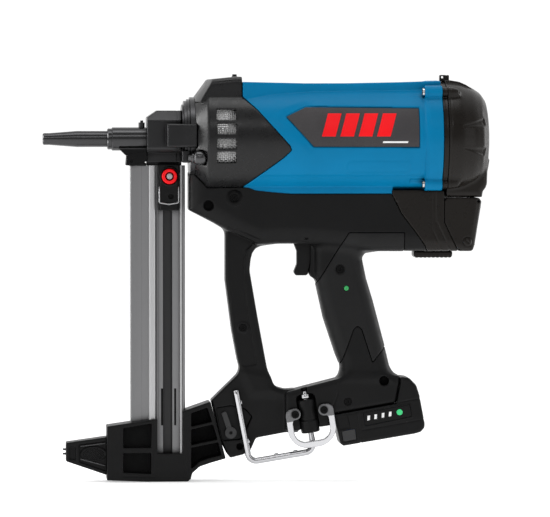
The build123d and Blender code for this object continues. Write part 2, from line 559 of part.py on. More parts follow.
with BuildPart() as door_latch:
    slab([(356, -108.0), (355.8, -112.5, 1.5), (358, -114.3, 1), (391.5, -114.3, 1), (393.3, -112.5, 1), (393.3, -108.0)], -11, 11)
    block(371, 390, -6.0, 6.0, -108.0, -104.8)
save("door_latch", door_latch.part)

with BuildPart() as fuel_cell:
    rod(287, 0, -79.5, 14.8, 88, "X")
    soften(fuel_cell, [e for e in fuel_cell.edges().filter_by(GeomType.CIRCLE) if e.radius > 14], [3.5, 2])
    rod(281.5, 0, -79.5, 7.0, 6, "X")
    rod(277.2, 0, -79.5, 2.0, 5, "X")
save("fuel_cell", fuel_cell.part)

with BuildPart() as metering_valve:
    block(262, 277.1, -11, 11, -88, -69)
    rod(269, 0, -69, 3.0, 7, "Z")
    rod(268, -8, -89.8, 2.0, 16, "Y")
save("metering_valve", metering_valve.part)

# ================================================================ battery
def along(x, z, d, up=0.0):
    return (x + d * DIR[0] - up * DIR[1], z + d * DIR[1] + up * DIR[0])


BATTERY = [(278.0, -264.7, 1), (336.5, -254.6, 1), (338.9, -253.4, 1), (342.7, -233.7, 1), (342.7, -228.2, 1.5), (351.0, -229.4, 5), (358, -236.5, 8),
           (361.0, -246, 8), (366.2, -273.2, 2), (366.0, -277.5, 3), (362.4, -281.6, 3), (356.4, -283.3, 3), (287.6, -294.7, 2), (284.7, -292.4, 2)]
BATTERY_W = 19.0
with BuildPart() as battery_case:
    slab(BATTERY, -BATTERY_W, BATTERY_W)
    for sgn in (-1, 1):
        bevel(battery_case, xz_edges(battery_case, sgn * BATTERY_W), [2.2, 1.5, 0.8])
    shrunk = offset(face_xz([(p[0], p[1]) for p in BATTERY], BATTERY_W - 2.2), amount=-2.2, kind=Kind.INTERSECTION, mode=Mode.PRIVATE)
    extrude(shrunk, amount=2 * BATTERY_W - 4.4, mode=Mode.SUBTRACT)
    # Tongue that runs in the dock's groove.
    a, b = along(280, -264.85, 0), along(280, -264.85, 55)
    slab([a, b, along(b[0], b[1], 0, 3.6), along(a[0], a[1], 0, 3.6)], -8.0, 8.0)
    # Window for the gauge, the charge button and the latch button.
    slab([(306.5, -262.7), (351.6, -255.0), (353.7, -266.5), (308.4, -275.6)], -BATTERY_W - 1, -BATTERY_W + 2.3, Mode.SUBTRACT)
    slab([(285.6, -280.2), (299.0, -278.0), (300.4, -288.6), (287.4, -290.8)], -BATTERY_W - 1, -BATTERY_W + 2.3, Mode.SUBTRACT)
    slab([(280.6, -266.2), (291, -264.4), (294.5, -277.6), (284, -279.2)], -BATTERY_W - 1, -BATTERY_W + 1.1, Mode.SUBTRACT)
save("battery_case", battery_case.part)

with BuildPart() as gauge_panel:
    slab([(306.7, -262.9), (351.4, -255.2), (353.5, -266.4), (308.6, -275.4)], -BATTERY_W + 0.5, -BATTERY_W + 2.2)
    rod(341.7, -BATTERY_W - 1, -262.4, 2.95, 4, "Y", Mode.SUBTRACT)
    for x, z in ((311.9, -267.8), (318.6, -266.6), (325.7, -265.3), (332.6, -264.1)):
        slab([(x - 1.45, z - 2.5), (x + 1.25, z - 2.1), (x + 1.45, z + 2.5), (x - 1.25, z + 2.1)], -BATTERY_W, -BATTERY_W + 3, Mode.SUBTRACT)
save("gauge_panel", gauge_panel.part)

with BuildPart() as charge_lights:
    for x, z in ((311.9, -267.8), (318.6, -266.6), (325.7, -265.3), (332.6, -264.1)):
        slab([(x - 1.4, z - 2.45), (x + 1.2, z - 2.05), (x + 1.4, z + 2.45), (x - 1.2, z + 2.05)], -BATTERY_W + 0.6, -BATTERY_W + 2.2)
save("charge_lights", charge_lights.part)

with BuildPart() as charge_button:
    rod(341.7, -BATTERY_W + 0.1, -262.4, 2.85, 1.3, "Y")
save("charge_button", charge_button.part)

with BuildPart() as battery_latch:
    slab([(286.0, -280.6), (298.7, -278.5), (299.9, -288.3), (287.7, -290.4)], -BATTERY_W + 0.1, -BATTERY_W + 1.8)
save("battery_latch", battery_latch.part)

with BuildPart() as battery_cells:
    for y in (-8.2, 8.2):
        c0 = along(290.0, -278.0, 0)
        with BuildSketch(Plane(origin=(c0[0], y, c0[1]), x_dir=(0, 1, 0), z_dir=(DIR[0], 0, DIR[1]))) as s:
            Circle(7.8)
        extrude(s.sketch, amount=65)
save("battery_cells", battery_cells.part)

with BuildPart() as dock_terminals:
    block(308, 330, -7.5, 7.5, -245, -238)
    for y in (-6, -2, 2, 6):
        block(316, 322, y - 0.4, y + 0.4, -249.5, -245)
save("dock_terminals", dock_terminals.part)

# ================================================================ hook, ring and lock lever
with BuildPart() as hook_sleeve:
    with BuildSketch(sleeve_plane(8.6)) as s:
        Circle(8.0)
    extrude(s.sketch, amount=20)
    with BuildSketch(sleeve_plane(28.6)) as s:
        Circle(9.0)
    extrude(s.sketch, amount=12)
    with BuildSketch(sleeve_plane(0)) as s:
        Circle(2.66)
    extrude(s.sketch, amount=60, mode=Mode.SUBTRACT)
save("hook_sleeve", hook_sleeve.part)

HOOK_R = 2.6
with BuildPart() as wire_hook:
    with BuildLine() as route:
        top = [SLEEVE_TOP[i] + SLEEVE_DIR[i] * 1.0 for i in range(3)]
        FilletPolyline(tuple(top), (259.4, -14.0, -299.6), (197.5, -14.0, -309.9), (184.4, -14.0, -240.8), radius=8.0)
    with BuildSketch(Plane(origin=tuple(top), x_dir=(0, 1, 0), z_dir=SLEEVE_DIR)) as s:
        Circle(HOOK_R)
    sweep(sections=s.sketch, path=route.wires()[0])
    with BuildSketch(sleeve_plane(3.4)) as s:
        Circle(4.4)
    extrude(s.sketch, amount=4.6)
save("wire_hook", wire_hook.part)

with BuildPart() as d_ring:
    slab([(*ring(-23.3, 7.0), 6.5), (*ring(-23.3, -32.3), 19), (*ring(23.3, -32.3), 19), (*ring(23.3, 7.0), 6.5)], -22.0, -19.4)
    slab([(*ring(-17.3, 30.0), 0), (*ring(-17.3, -26.3), 14), (*ring(17.3, -26.3), 14), (*ring(17.3, 30.0), 0)], -23, -16, Mode.SUBTRACT)
    for u in (-14.0, 14.0):
        x, z = ring(u, 0)
        rod(x, -22.0, z, 5.2, 2.6, "Y")
        x, z = ring(u * 1.28, 0)
        rod(x, -22.0, z, 5.2, 2.6, "Y")
    for u in (-14.0, 14.0):
        x, z = ring(u, 0)
        rod(x, -24.0, z, 2.2, 8, "Y", Mode.SUBTRACT)
save("d_ring", d_ring.part)

LEVER = (179.8, -282.0)
with BuildPart() as lock_lever:
    rod(LEVER[0], -11.2, LEVER[1], 5.6, 2.9, "Y")
    a = atan2(21.4, -7.4)
    nx, nz = -sin(a), cos(a)
    tip = (LEVER[0] - 6.9, LEVER[1] + 20.0)
    slab([(LEVER[0] + 2.5 * nx, LEVER[1] + 2.5 * nz), (tip[0] + 2.5 * nx, tip[1] + 2.5 * nz, 2.0), (tip[0] - 2.5 * nx, tip[1] - 2.5 * nz, 2.0),
          (LEVER[0] - 2.5 * nx, LEVER[1] - 2.5 * nz)], -11.0, -8.3)
    rod(LEVER[0], -13, LEVER[1], 1.6, 6, "Y", Mode.SUBTRACT)
save("lock_lever", lock_lever.part)

# ================================================================ magazine
RAIL_TOP, RAIL_END = -25.8, -302.0
with BuildPart() as magazine_rail:
    with BuildSketch(Plane.XY.offset(RAIL_END)) as s:
        with BuildLine():
            Polyline((83.6, -6.0), (84.6, -7.0), (97.8, -7.0), (98.6, -RAIL_W), (104.6, -RAIL_W), (105.8, -7.4), (108.2, -7.4), (109.6, -RAIL_W),
                     (109.6, -5.6), (115.0, -5.6), (115.0, -3.6), (94.0, -3.6), (94.0, 3.6), (134.0, 3.6), (134.0, -3.6), (123.6, -3.6), (123.6, -5.6),
                     (131.0, -5.6), (131.0, -RAIL_W), (135.2, -RAIL_W), (136.0, -7.6), (136.0, 7.6), (135.2, RAIL_W), (84.6, RAIL_W), (83.6, 7.5), close=True)
        make_face()
    extrude(s.sketch, amount=RAIL_TOP - RAIL_END)
    # Loading slots low on the channel floor.
    for x in (112.9, 125.6):
        block(x, x + 1.9, -6.2, -3.0, -274.9, -239.3, Mode.SUBTRACT)
save("magazine_rail", magazine_rail.part)

with BuildPart() as rail_head:
    slab([(81.8, -18.2, 1), (81.8, -25.75, 0.8), (97.5, -25.75), (97.5, -18.6, 1)], -8.0, 8.0)
    rod(84.6, -12, -21.2, 1.55, 24, "Y", Mode.SUBTRACT)
save("rail_head", rail_head.part)

PUSH_Z = -35.7
with BuildPart() as pusher:
    block(110.2, 130.4, -13.0, -5.8, -68.3, -23.8)
    block(115.3, 123.3, -6.0, -3.0, -68.3, -26.2)
    block(94.4, 133.6, -3.3, 3.3, -66.0, -26.2)
    rod(120.9, -14, PUSH_Z, 7.6, 6.4, "Y", Mode.SUBTRACT)
    # Pocket for the coil of the constant-force spring.
    block(113.0, 128.0, -12.0, -6.6, -67.0, -59.8, Mode.SUBTRACT)
    rod(122.4, -14, -54.8, 1.6, 4, "Y", Mode.SUBTRACT)
save("pusher", pusher.part)

with BuildPart() as pusher_screw:
    rod(120.9, -14.4, PUSH_Z, 3.9, 6.7, "Y")
    with BuildSketch(plane_y(-14.4)) as s:
        with Locations((120.9, PUSH_Z)):
            RegularPolygon(2.0, 6)
    extrude(s.sketch, amount=-1.8, mode=Mode.SUBTRACT)
save("pusher_screw", pusher_screw.part)

with BuildPart() as pusher_button:
    with BuildSketch(plane_y(-11.2)) as s:
        with Locations((120.9, PUSH_Z)):
            Circle(7.27)
            Circle(4.2, mode=Mode.SUBTRACT)
    extrude(s.sketch, amount=4.4)
    soften(pusher_button, [e for e in pusher_button.edges().filter_by(GeomType.CIRCLE) if abs(e.center().Y + 15.6) < 0.01 and e.radius > 7], [1.2, 0.8])
save("pusher_button", pusher_button.part)

with BuildPart() as pusher_clip:
    with BuildLine() as route:
        FilletPolyline((111.2, -13.9, -45.5), (111.2, -13.9, -61.0), (120.5, -14.6, -62.4), (129.6, -13.9, -61.0), (129.6, -13.9, -45.5), radius=2.0)
    with BuildSketch(Plane(origin=(111.2, -13.9, -45.5), x_dir=(1, 0, 0), z_dir=(0, 0, -1))) as s:
        Circle(0.85)
    sweep(sections=s.sketch, path=route.wires()[0])
save("pusher_clip", pusher_clip.part)

with BuildPart() as pusher_spring:
    rod(113.6, -9.3, -63.4, 2.55, 13.6, "X")
    rod(113.6, -9.3, -63.4, 1.2, 13.6, "X", Mode.SUBTRACT)
save("pusher_spring", pusher_spring.part)

FOOT = [(60.6, -274.9, 1), (108.7, -267.9, 0.6), (133.3, -267.9), (133.3, -260.7, 1), (159.9, -251.4, 1), (174.7, -306.3, 1), (160, -310.5), (149.5, -314),
        (142.3, -320.5, 1), (141.3, -325.6, 1), (138.5, -328.3), (98, -328.3), (60.6, -326.8, 1)]
FOOT_W = 16.0
with BuildPart() as magazine_foot:
    slab(FOOT, -FOOT_W, FOOT_W)
    block(83.55, 136.05, -RAIL_W - 0.05, RAIL_W + 0.05, RAIL_END - 0.1, -240, Mode.SUBTRACT)
    for sgn in (-1, 1):
        y0, y1 = sorted((sgn * (FOOT_W - 7.0), sgn * (FOOT_W + 1)))
        if sgn < 0:
            block(108.9, 133.3, -FOOT_W - 1, -RAIL_W, -301.6, -255, Mode.SUBTRACT)
        slab([(76.3, -276.6), (103.6, -272.2), (103.0, -295.7), (76.3, -295.7)], y0, y1, Mode.SUBTRACT)
        slab([(76.3, -300.6), (103.0, -300.6), (103.0, -320.8), (76.3, -319.4)], y0, y1, Mode.SUBTRACT)
        slab([(141.4, -262.6), (156.9, -257.2), (161.6, -271.0), (141.4, -275.8)], y0, y1, Mode.SUBTRACT)
        slab([(141.4, -278.2), (162.3, -273.4), (166.8, -288.2), (141.4, -293.4)], y0, y1, Mode.SUBTRACT)
        slab([(141.4, -295.8), (167.4, -290.6), (170.6, -303.2), (158, -306.2), (149, -309.6), (141.4, -316.6)], y0, y1, Mode.SUBTRACT)
save("magazine_foot", magazine_foot.part)

SUPPORT_W = 11.0
with BuildPart() as support_foot:
    slab([(21.6, -290.8, 0.8), (60.55, -285.4), (60.55, -322.0), (21.6, -308.6, 0.8)], -SUPPORT_W, SUPPORT_W)
    for sgn in (-1, 1):
        y0, y1 = sorted((sgn * (SUPPORT_W - 2.2), sgn * (SUPPORT_W + 1)))
        slab([(24.6, -294.6), (30.8, -294.6), (30.8, -307.2), (24.6, -307.2)], y0, y1, Mode.SUBTRACT)
        slab([(34.0, -292.6), (60.0, -289.2), (60.0, -318.4), (34.0, -309.4)], y0, y1, Mode.SUBTRACT)
    for y in (-SUPPORT_W + 2.2, SUPPORT_W - 3.2):
        with BuildSketch(plane_y(y + 1.0)) as s:
            with Locations((48.0, -301.6)):
                Ellipse(11.6, 6.6)
        extrude(s.sketch, amount=1.0 if y > 0 else 2.0)
    for z in (-297.7, -302.0):
        rod(15, 0, z, 1.05, 16, "X", Mode.SUBTRACT)
save("support_foot", support_foot.part)

with BuildPart() as support_rods:
    for z in (-297.7, -302.0):
        rod(18.8, 0, z, 1.0, 12, "X")
    for sgn in (-1, 1):
        y = sgn * (SUPPORT_W - 1.1)
        for z0, z1 in ((-294.2, -291.4), (-306.6, -313.0)):
            length = sqrt(24.0**2 + (z1 - z0) ** 2)
            with BuildSketch(Plane(origin=(35.4, y, z0), x_dir=(0, 1, 0), z_dir=(24.0 / length, 0, (z1 - z0) / length))) as s:
                Circle(0.7)
            extrude(s.sketch, amount=length)
save("support_rods", support_rods.part)

# ================================================================ fasteners that need the other parts' places
with BuildPart() as shell_screws:
    for x, z, r, w in SCREWS:
        rod(x, -w + 0.2, z, r - 0.2, 2.75, "Y")
        rod(x, -w + 2.9, z, 1.45, 2 * w - 8, "Y")
        with BuildSketch(plane_y(-w + 0.2)) as s:
            with Locations((x, z)):
                RegularPolygon(1.7, 6)
        extrude(s.sketch, amount=-1.6, mode=Mode.SUBTRACT)
    for u in (-14.0, 14.0):
        x, z = ring(u, 0)
        rod(x, -24.4, z, 3.7, 2.35, "Y")
        rod(x, -22.1, z, 1.9, 10.0, "Y")
        with BuildSketch(plane_y(-24.4)) as s:
            with Locations((x, z)):
                RegularPolygon(2.0, 6)
        extrude(s.sketch, amount=-1.6, mode=Mode.SUBTRACT)
save("shell_screws", shell_screws.part)

# Dowels: trigger, lock lever, fuel door and magazine hook.
with BuildPart() as pivot_pins:
    rod(251.5, -BELLY_W + 3, -94.5, 1.58, 2 * BELLY_W - 6, "Y")
    rod(LEVER[0], -11.4, LEVER[1], 1.53, 7.0, "Y")
    rod(HINGE[0], -21, HINGE[1], 1.39, 42, "Y")
    rod(84.6, -11.0, -21.2, 1.48, 22, "Y")
save("pivot_pins", pivot_pins.part)
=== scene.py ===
import json
import math
import bpy
import numpy as np
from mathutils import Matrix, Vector


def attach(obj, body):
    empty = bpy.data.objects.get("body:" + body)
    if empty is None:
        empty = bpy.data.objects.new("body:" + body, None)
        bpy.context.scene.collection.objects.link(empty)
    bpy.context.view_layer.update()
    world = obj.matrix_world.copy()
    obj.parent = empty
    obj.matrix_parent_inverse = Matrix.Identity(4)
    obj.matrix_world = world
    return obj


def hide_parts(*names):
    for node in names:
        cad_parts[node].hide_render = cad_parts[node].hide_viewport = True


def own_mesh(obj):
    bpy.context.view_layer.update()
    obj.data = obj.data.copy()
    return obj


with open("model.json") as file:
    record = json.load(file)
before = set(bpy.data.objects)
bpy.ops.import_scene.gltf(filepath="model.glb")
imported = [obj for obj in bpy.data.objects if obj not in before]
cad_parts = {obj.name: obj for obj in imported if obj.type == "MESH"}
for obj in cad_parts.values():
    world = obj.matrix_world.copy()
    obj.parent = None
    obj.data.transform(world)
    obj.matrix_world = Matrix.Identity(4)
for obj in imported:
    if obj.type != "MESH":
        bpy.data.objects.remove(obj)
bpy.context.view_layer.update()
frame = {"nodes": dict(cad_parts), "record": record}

NODES = frame["nodes"]
MM = 0.001
F = np.float32

# ------------------------------------------------------------------ implicit shapes (millimetres)


class Grid:
    """Sample points of a box, as three broadcastable axes."""

    def __init__(self, x0, x1, y0, y1, z0, z1, h):
        self.lo = np.array([x0, y0, z0], float)
        self.h = h
        n = [int(math.ceil((b - a) / h)) + 1 for a, b in ((x0, x1), (y0, y1), (z0, z1))]
        self.X = (x0 + h * np.arange(n[0])).astype(F)[:, None, None]
        self.Y = (y0 + h * np.arange(n[1])).astype(F)[None, :, None]
        self.Z = (z0 + h * np.arange(n[2])).astype(F)[None, None, :]

    def poly(self, points):
        """Signed distance to an XZ outline with optional corner radii, as (nx, 1, nz)."""
        return sd_poly(rounded(points), self.X[:, 0, :], self.Z[0, :, :])[:, None, :]

    def line(self, points):
        """Distance to an open XZ polyline, as (nx, 1, nz)."""
        X, Z = self.X[:, 0, :], self.Z[0, :, :]
        best = None
        for (ax, az), (bx, bz) in zip(points[:-1], points[1:]):
            ex, ez = bx - ax, bz - az
            t = np.clip(((X - ax) * ex + (Z - az) * ez) / (ex * ex + ez * ez), 0, 1)
            d = np.hypot(X - ax - t * ex, Z - az - t * ez)
            best = d if best is None else np.minimum(best, d)
        return best[:, None, :].astype(F)


def rounded(points, step=0.35):
    """Outline with its corners (x, z, radius) turned into arcs."""
    out, n = [], len(points)
    for i, p in enumerate(points):
        r = p[2] if len(p) > 2 else 0
        if r <= 0:
            out.append((p[0], p[1]))
            continue
        a, b, c = np.array(points[i - 1][:2], float), np.array(p[:2], float), np.array(points[(i + 1) % n][:2], float)
        u, v = a - b, c - b
        lu, lv = np.hypot(*u), np.hypot(*v)
        u, v = u / lu, v / lv
        half = math.acos(max(-1, min(1, float(u @ v)))) / 2
        if half > math.pi / 2 - 0.02:
            out.append((p[0], p[1]))
            continue
        t = min(r / math.tan(half), 0.48 * lu, 0.48 * lv)
        r = t * math.tan(half)
        w = (u + v) / np.hypot(*(u + v))
        centre = b + w * (r / math.sin(half))
        s, e = b + u * t - centre, b + v * t - centre
        a0 = math.atan2(s[1], s[0])
        turn = (math.atan2(e[1], e[0]) - a0 + math.pi) % (2 * math.pi) - math.pi
        k = max(3, min(14, int(abs(turn) * r / step)))
        for j in range(k + 1):
            q = a0 + turn * j / k
            out.append((centre[0] + r * math.cos(q), centre[1] + r * math.sin(q)))
    return out


def sd_poly(pts, X, Z):
    best = None
    inside = np.zeros(np.broadcast(X, Z).shape, bool)
    n = len(pts)
    for i in range(n):
        ax, az = pts[i]
        bx, bz = pts[(i + 1) % n]
        ex, ez = bx - ax, bz - az
        q = ex * ex + ez * ez
        if q < 1e-12:
            continue
        t = np.clip(((X - ax) * ex + (Z - az) * ez) / q, 0, 1)
        d = (X - ax - t * ex) ** 2 + (Z - az - t * ez) ** 2
        best = d if best is None else np.minimum(best, d)
        if az != bz:
            hit = ((az > Z) != (bz > Z)) & (X < ex * (Z - az) / ez + ax)
            inside ^= hit
    best = np.sqrt(best).astype(F)
    return np.where(inside, -best, best)


def smin(a, b, k):
    h = np.clip(0.5 + 0.5 * (b - a) / k, 0, 1)
    return b * (1 - h) + a * h - k * h * (1 - h)


def smax(a, b, k):
    return -smin(-a, -b, k)


def cut(a, b, k=0.0):
    return smax(a, -b, k) if k else np.maximum(a, -b)


def pillow(d2, Y, y0, y1, rx, ry):
    """Prism of an outline between two y values, with elliptic edges rx in the outline and ry across."""
    yc, hw = (y0 + y1) / 2, (y1 - y0) / 2
    qx = (d2 + rx) / rx
    qy = (np.abs(Y - yc) - hw + ry) / ry
    s = min(rx, ry)
    e = np.hypot(np.maximum(qx, 0), np.maximum(qy, 0)) + np.minimum(np.maximum(qx, qy), 0) - 1
    return (e * s).astype(F)


def prism(d2, Y, y0, y1):
    return np.maximum(d2, np.abs(Y - (y0 + y1) / 2) - (y1 - y0) / 2)


def box3(g, x0, x1, y0, y1, z0, z1, r=0.0):
    qx = np.abs(g.X - (x0 + x1) / 2) - (x1 - x0) / 2 + r
    qy = np.abs(g.Y - (y0 + y1) / 2) - (y1 - y0) / 2 + r
    qz = np.abs(g.Z - (z0 + z1) / 2) - (z1 - z0) / 2 + r
    out = np.minimum(np.maximum(np.maximum(qx, qy), qz), 0)
    return out + np.sqrt(np.maximum(qx, 0) ** 2 + np.maximum(qy, 0) ** 2 + np.maximum(qz, 0) ** 2) - r


def bore_y(g, x, z, r, y0, y1):
    return np.maximum(np.hypot(g.X - x, g.Z - z) - r, np.abs(g.Y - (y0 + y1) / 2) - (y1 - y0) / 2)


def bore_x(g, y, z, r, x0, x1):
    return np.maximum(np.hypot(g.Y - y, g.Z - z) - r, np.abs(g.X - (x0 + x1) / 2) - (x1 - x0) / 2)


def step01(v):
    v = np.clip(v, 0, 1)
    return v * v * (3 - 2 * v)


EDGES = [((0, 0, 0), (1, 0, 0)), ((0, 1, 0), (1, 1, 0)), ((0, 0, 1), (1, 0, 1)), ((0, 1, 1), (1, 1, 1)),
         ((0, 0, 0), (0, 1, 0)), ((1, 0, 0), (1, 1, 0)), ((0, 0, 1), (0, 1, 1)), ((1, 0, 1), (1, 1, 1)),
         ((0, 0, 0), (0, 0, 1)), ((1, 0, 0), (1, 0, 1)), ((0, 1, 0), (0, 1, 1)), ((1, 1, 0), (1, 1, 1))]


def surface(g, f):
    """Quad mesh of f = 0 by surface nets: points in millimetres and quads."""
    f = np.ascontiguousarray(f, F)
    for ax in range(3):
        ends = [slice(None)] * 3
        for e in (0, -1):
            ends[ax] = e
            f[tuple(ends)] = np.maximum(f[tuple(ends)], 0.05)
    s = f < 0
    total = np.zeros([d - 1 for d in f.shape], np.int8)
    for a in (0, 1):
        for b in (0, 1):
            for c in (0, 1):
                total += s[a:s.shape[0] - 1 + a, b:s.shape[1] - 1 + b, c:s.shape[2] - 1 + c]
    active = (total > 0) & (total < 8)
    cells = np.argwhere(active)
    index = np.full(total.shape, -1, np.int64)
    index[active] = np.arange(len(cells))
    acc, cnt = np.zeros((len(cells), 3)), np.zeros(len(cells))
    for a, b in EDGES:
        fa = f[cells[:, 0] + a[0], cells[:, 1] + a[1], cells[:, 2] + a[2]]
        fb = f[cells[:, 0] + b[0], cells[:, 1] + b[1], cells[:, 2] + b[2]]
        hit = (fa < 0) != (fb < 0)
        t = np.zeros(len(cells))
        t[hit] = fa[hit] / (fa[hit] - fb[hit])
        p = np.array(a, float)[None] + t[:, None] * (np.array(b, float) - np.array(a, float))[None]
        acc[hit] += p[hit]
        cnt[hit] += 1
    verts = g.lo + g.h * (cells + acc / cnt[:, None])
    quads = []
    for ax in range(3):
        lo, hi = [slice(None)] * 3, [slice(None)] * 3
        lo[ax], hi[ax] = slice(0, -1), slice(1, None)
        sa, sb = s[tuple(lo)], s[tuple(hi)]
        pts = np.argwhere(sa != sb)
        o1, o2 = [(1, 2), (2, 0), (0, 1)][ax]
        ok = (pts[:, o1] > 0) & (pts[:, o2] > 0) & (pts[:, o1] < s.shape[o1] - 1) & (pts[:, o2] < s.shape[o2] - 1)
        pts = pts[ok]
        flip = ~sa[pts[:, 0], pts[:, 1], pts[:, 2]]
        corners = []
        for d1, d2 in ((-1, -1), (0, -1), (0, 0), (-1, 0)):
            q = pts.copy()
            q[:, o1] += d1
            q[:, o2] += d2
            corners.append(index[q[:, 0], q[:, 1], q[:, 2]])
        q = np.stack(corners, 1)
        q[flip] = q[flip][:, ::-1]
        quads.append(q)
    return verts, np.concatenate(quads)


def relax(verts, quads, rounds=1, amount=0.5):
    """Light smoothing of a net, which takes the steps out of slanted edges."""
    for _ in range(rounds):
        acc, cnt = np.zeros_like(verts), np.zeros(len(verts))
        for i in range(4):
            a, b = quads[:, i], quads[:, (i + 1) % 4]
            for c in range(3):
                acc[:, c] += np.bincount(a, verts[b, c], len(verts)) + np.bincount(b, verts[a, c], len(verts))
            cnt += np.bincount(a, minlength=len(verts)) + np.bincount(b, minlength=len(verts))
        verts = verts + amount * (acc / np.maximum(cnt, 1)[:, None] - verts)
    return verts


def field_normals(g, f, verts):
    """Directions of steepest rise of the field at these points, which shade a net without its steps."""
    n = np.array(f.shape)
    p = np.clip((verts - g.lo) / g.h, 1.001, n - 2.002)
    base = np.floor(p).astype(np.int64)
    t = p - base
    out = np.zeros_like(verts)
    for a in (0, 1):
        for b in (0, 1):
            for c in (0, 1):
                w = (t[:, 0] if a else 1 - t[:, 0]) * (t[:, 1] if b else 1 - t[:, 1]) * (t[:, 2] if c else 1 - t[:, 2])
                i, j, k = base[:, 0] + a, base[:, 1] + b, base[:, 2] + c
                for ax, (lo, hi) in enumerate((((np.maximum(i - 1, 0), j, k), (np.minimum(i + 1, n[0] - 1), j, k)),
                                               ((i, np.maximum(j - 1, 0), k), (i, np.minimum(j + 1, n[1] - 1), k)),
                                               ((i, j, np.maximum(k - 1, 0)), (i, j, np.minimum(k + 1, n[2] - 1))))):
                    out[:, ax] += w * (f[hi] - f[lo])
    size = np.linalg.norm(out, axis=1)
    size[size < 1e-9] = 1
    return out / size[:, None]


def make(name, verts, faces, material, body, replaces=(), smooth=True, normals=None):
    """New object from millimetre points and faces."""
    me = bpy.data.meshes.new(name)
    if isinstance(faces, np.ndarray):
        k = faces.shape[1]
        me.vertices.add(len(verts))
        me.vertices.foreach_set("co", (np.asarray(verts, float) * MM).ravel())
        me.loops.add(faces.size)
        me.loops.foreach_set("vertex_index", faces.ravel().astype(np.int32))
        me.polygons.add(len(faces))
        me.polygons.foreach_set("loop_start", np.arange(0, faces.size, k, dtype=np.int32))
        me.polygons.foreach_set("loop_total", np.full(len(faces), k, np.int32))
        me.update(calc_edges=True)
    else:
        me.from_pydata([tuple(c * MM for c in v) for v in verts], [], faces)
    me.validate()
    me.polygons.foreach_set("use_smooth", [smooth] * len(me.polygons))
    me.update()
    if normals is not None and len(normals) == len(me.vertices):
        me.normals_split_custom_set_from_vertices(normals.astype(np.float32))
    ob = bpy.data.objects.new(name, me)
    bpy.context.scene.collection.objects.link(ob)
    me.materials.append(material)
    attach(ob, body)
    if replaces:
        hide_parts(*replaces)
    return ob


def shape(name, g, f, material, body, replaces=(), rounds=2):
    f = np.array(f, F)
    verts, quads = surface(g, f)
    verts = relax(verts, quads, rounds)
    return make(name, verts, quads, material, body, replaces, normals=field_normals(g, f, verts))


def shade_faces(ob, test, index):
    """Gives the faces whose centres (millimetres) and normals pass the test another of the object's materials."""
    n = len(ob.data.polygons)
    c, nn, mi = np.empty(n * 3), np.empty(n * 3), np.empty(n, np.int32)
    ob.data.polygons.foreach_get("center", c)
    ob.data.polygons.foreach_get("normal", nn)
    ob.data.polygons.foreach_get("material_index", mi)
    c, nn = c.reshape(-1, 3) / MM, nn.reshape(-1, 3)
    mi[test(c[:, 0], c[:, 1], c[:, 2], nn)] = index
    ob.data.polygons.foreach_set("material_index", mi)
    ob.data.update()


# ------------------------------------------------------------------ materials


def new_material(name):
    m = bpy.data.materials.new(name)
    m.use_nodes = True
    nt = m.node_tree
    return m, nt, nt.nodes["Principled BSDF"]


def noise(nt, coord, scale, detail=3.0, rough=0.6, stretch=None):
    n = nt.nodes.new("ShaderNodeTexNoise")
    n.inputs["Scale"].default_value = scale
    n.inputs["Detail"].default_value = detail
    n.inputs["Roughness"].default_value = rough
    if stretch:
        mp = nt.nodes.new("ShaderNodeMapping")
        mp.inputs["Scale"].default_value = stretch
        nt.links.new(coord, mp.inputs["Vector"])
        coord = mp.outputs["Vector"]
    nt.links.new(coord, n.inputs["Vector"])
    return n.outputs["Fac"]


def remap(nt, value, a, b, lo=0.3, hi=0.7):
    r = nt.nodes.new("ShaderNodeMapRange")
    r.inputs["From Min"].default_value = lo
    r.inputs["From Max"].default_value = hi
    r.inputs["To Min"].default_value = a
    r.inputs["To Max"].default_value = b
    nt.links.new(value, r.inputs["Value"])
    return r.outputs["Result"]


def mix_color(nt, fac, a, b):
    m = nt.nodes.new("ShaderNodeMix")
    m.data_type = "RGBA"
    for sock, v in ((m.inputs[6], a), (m.inputs[7], b)):
        if isinstance(v, tuple):
            sock.default_value = (*v, 1)
        else:
            nt.links.new(v, sock)
    if isinstance(fac, float):
        m.inputs[0].default_value = fac
    else:
        nt.links.new(fac, m.inputs[0])
    return m.outputs[2]


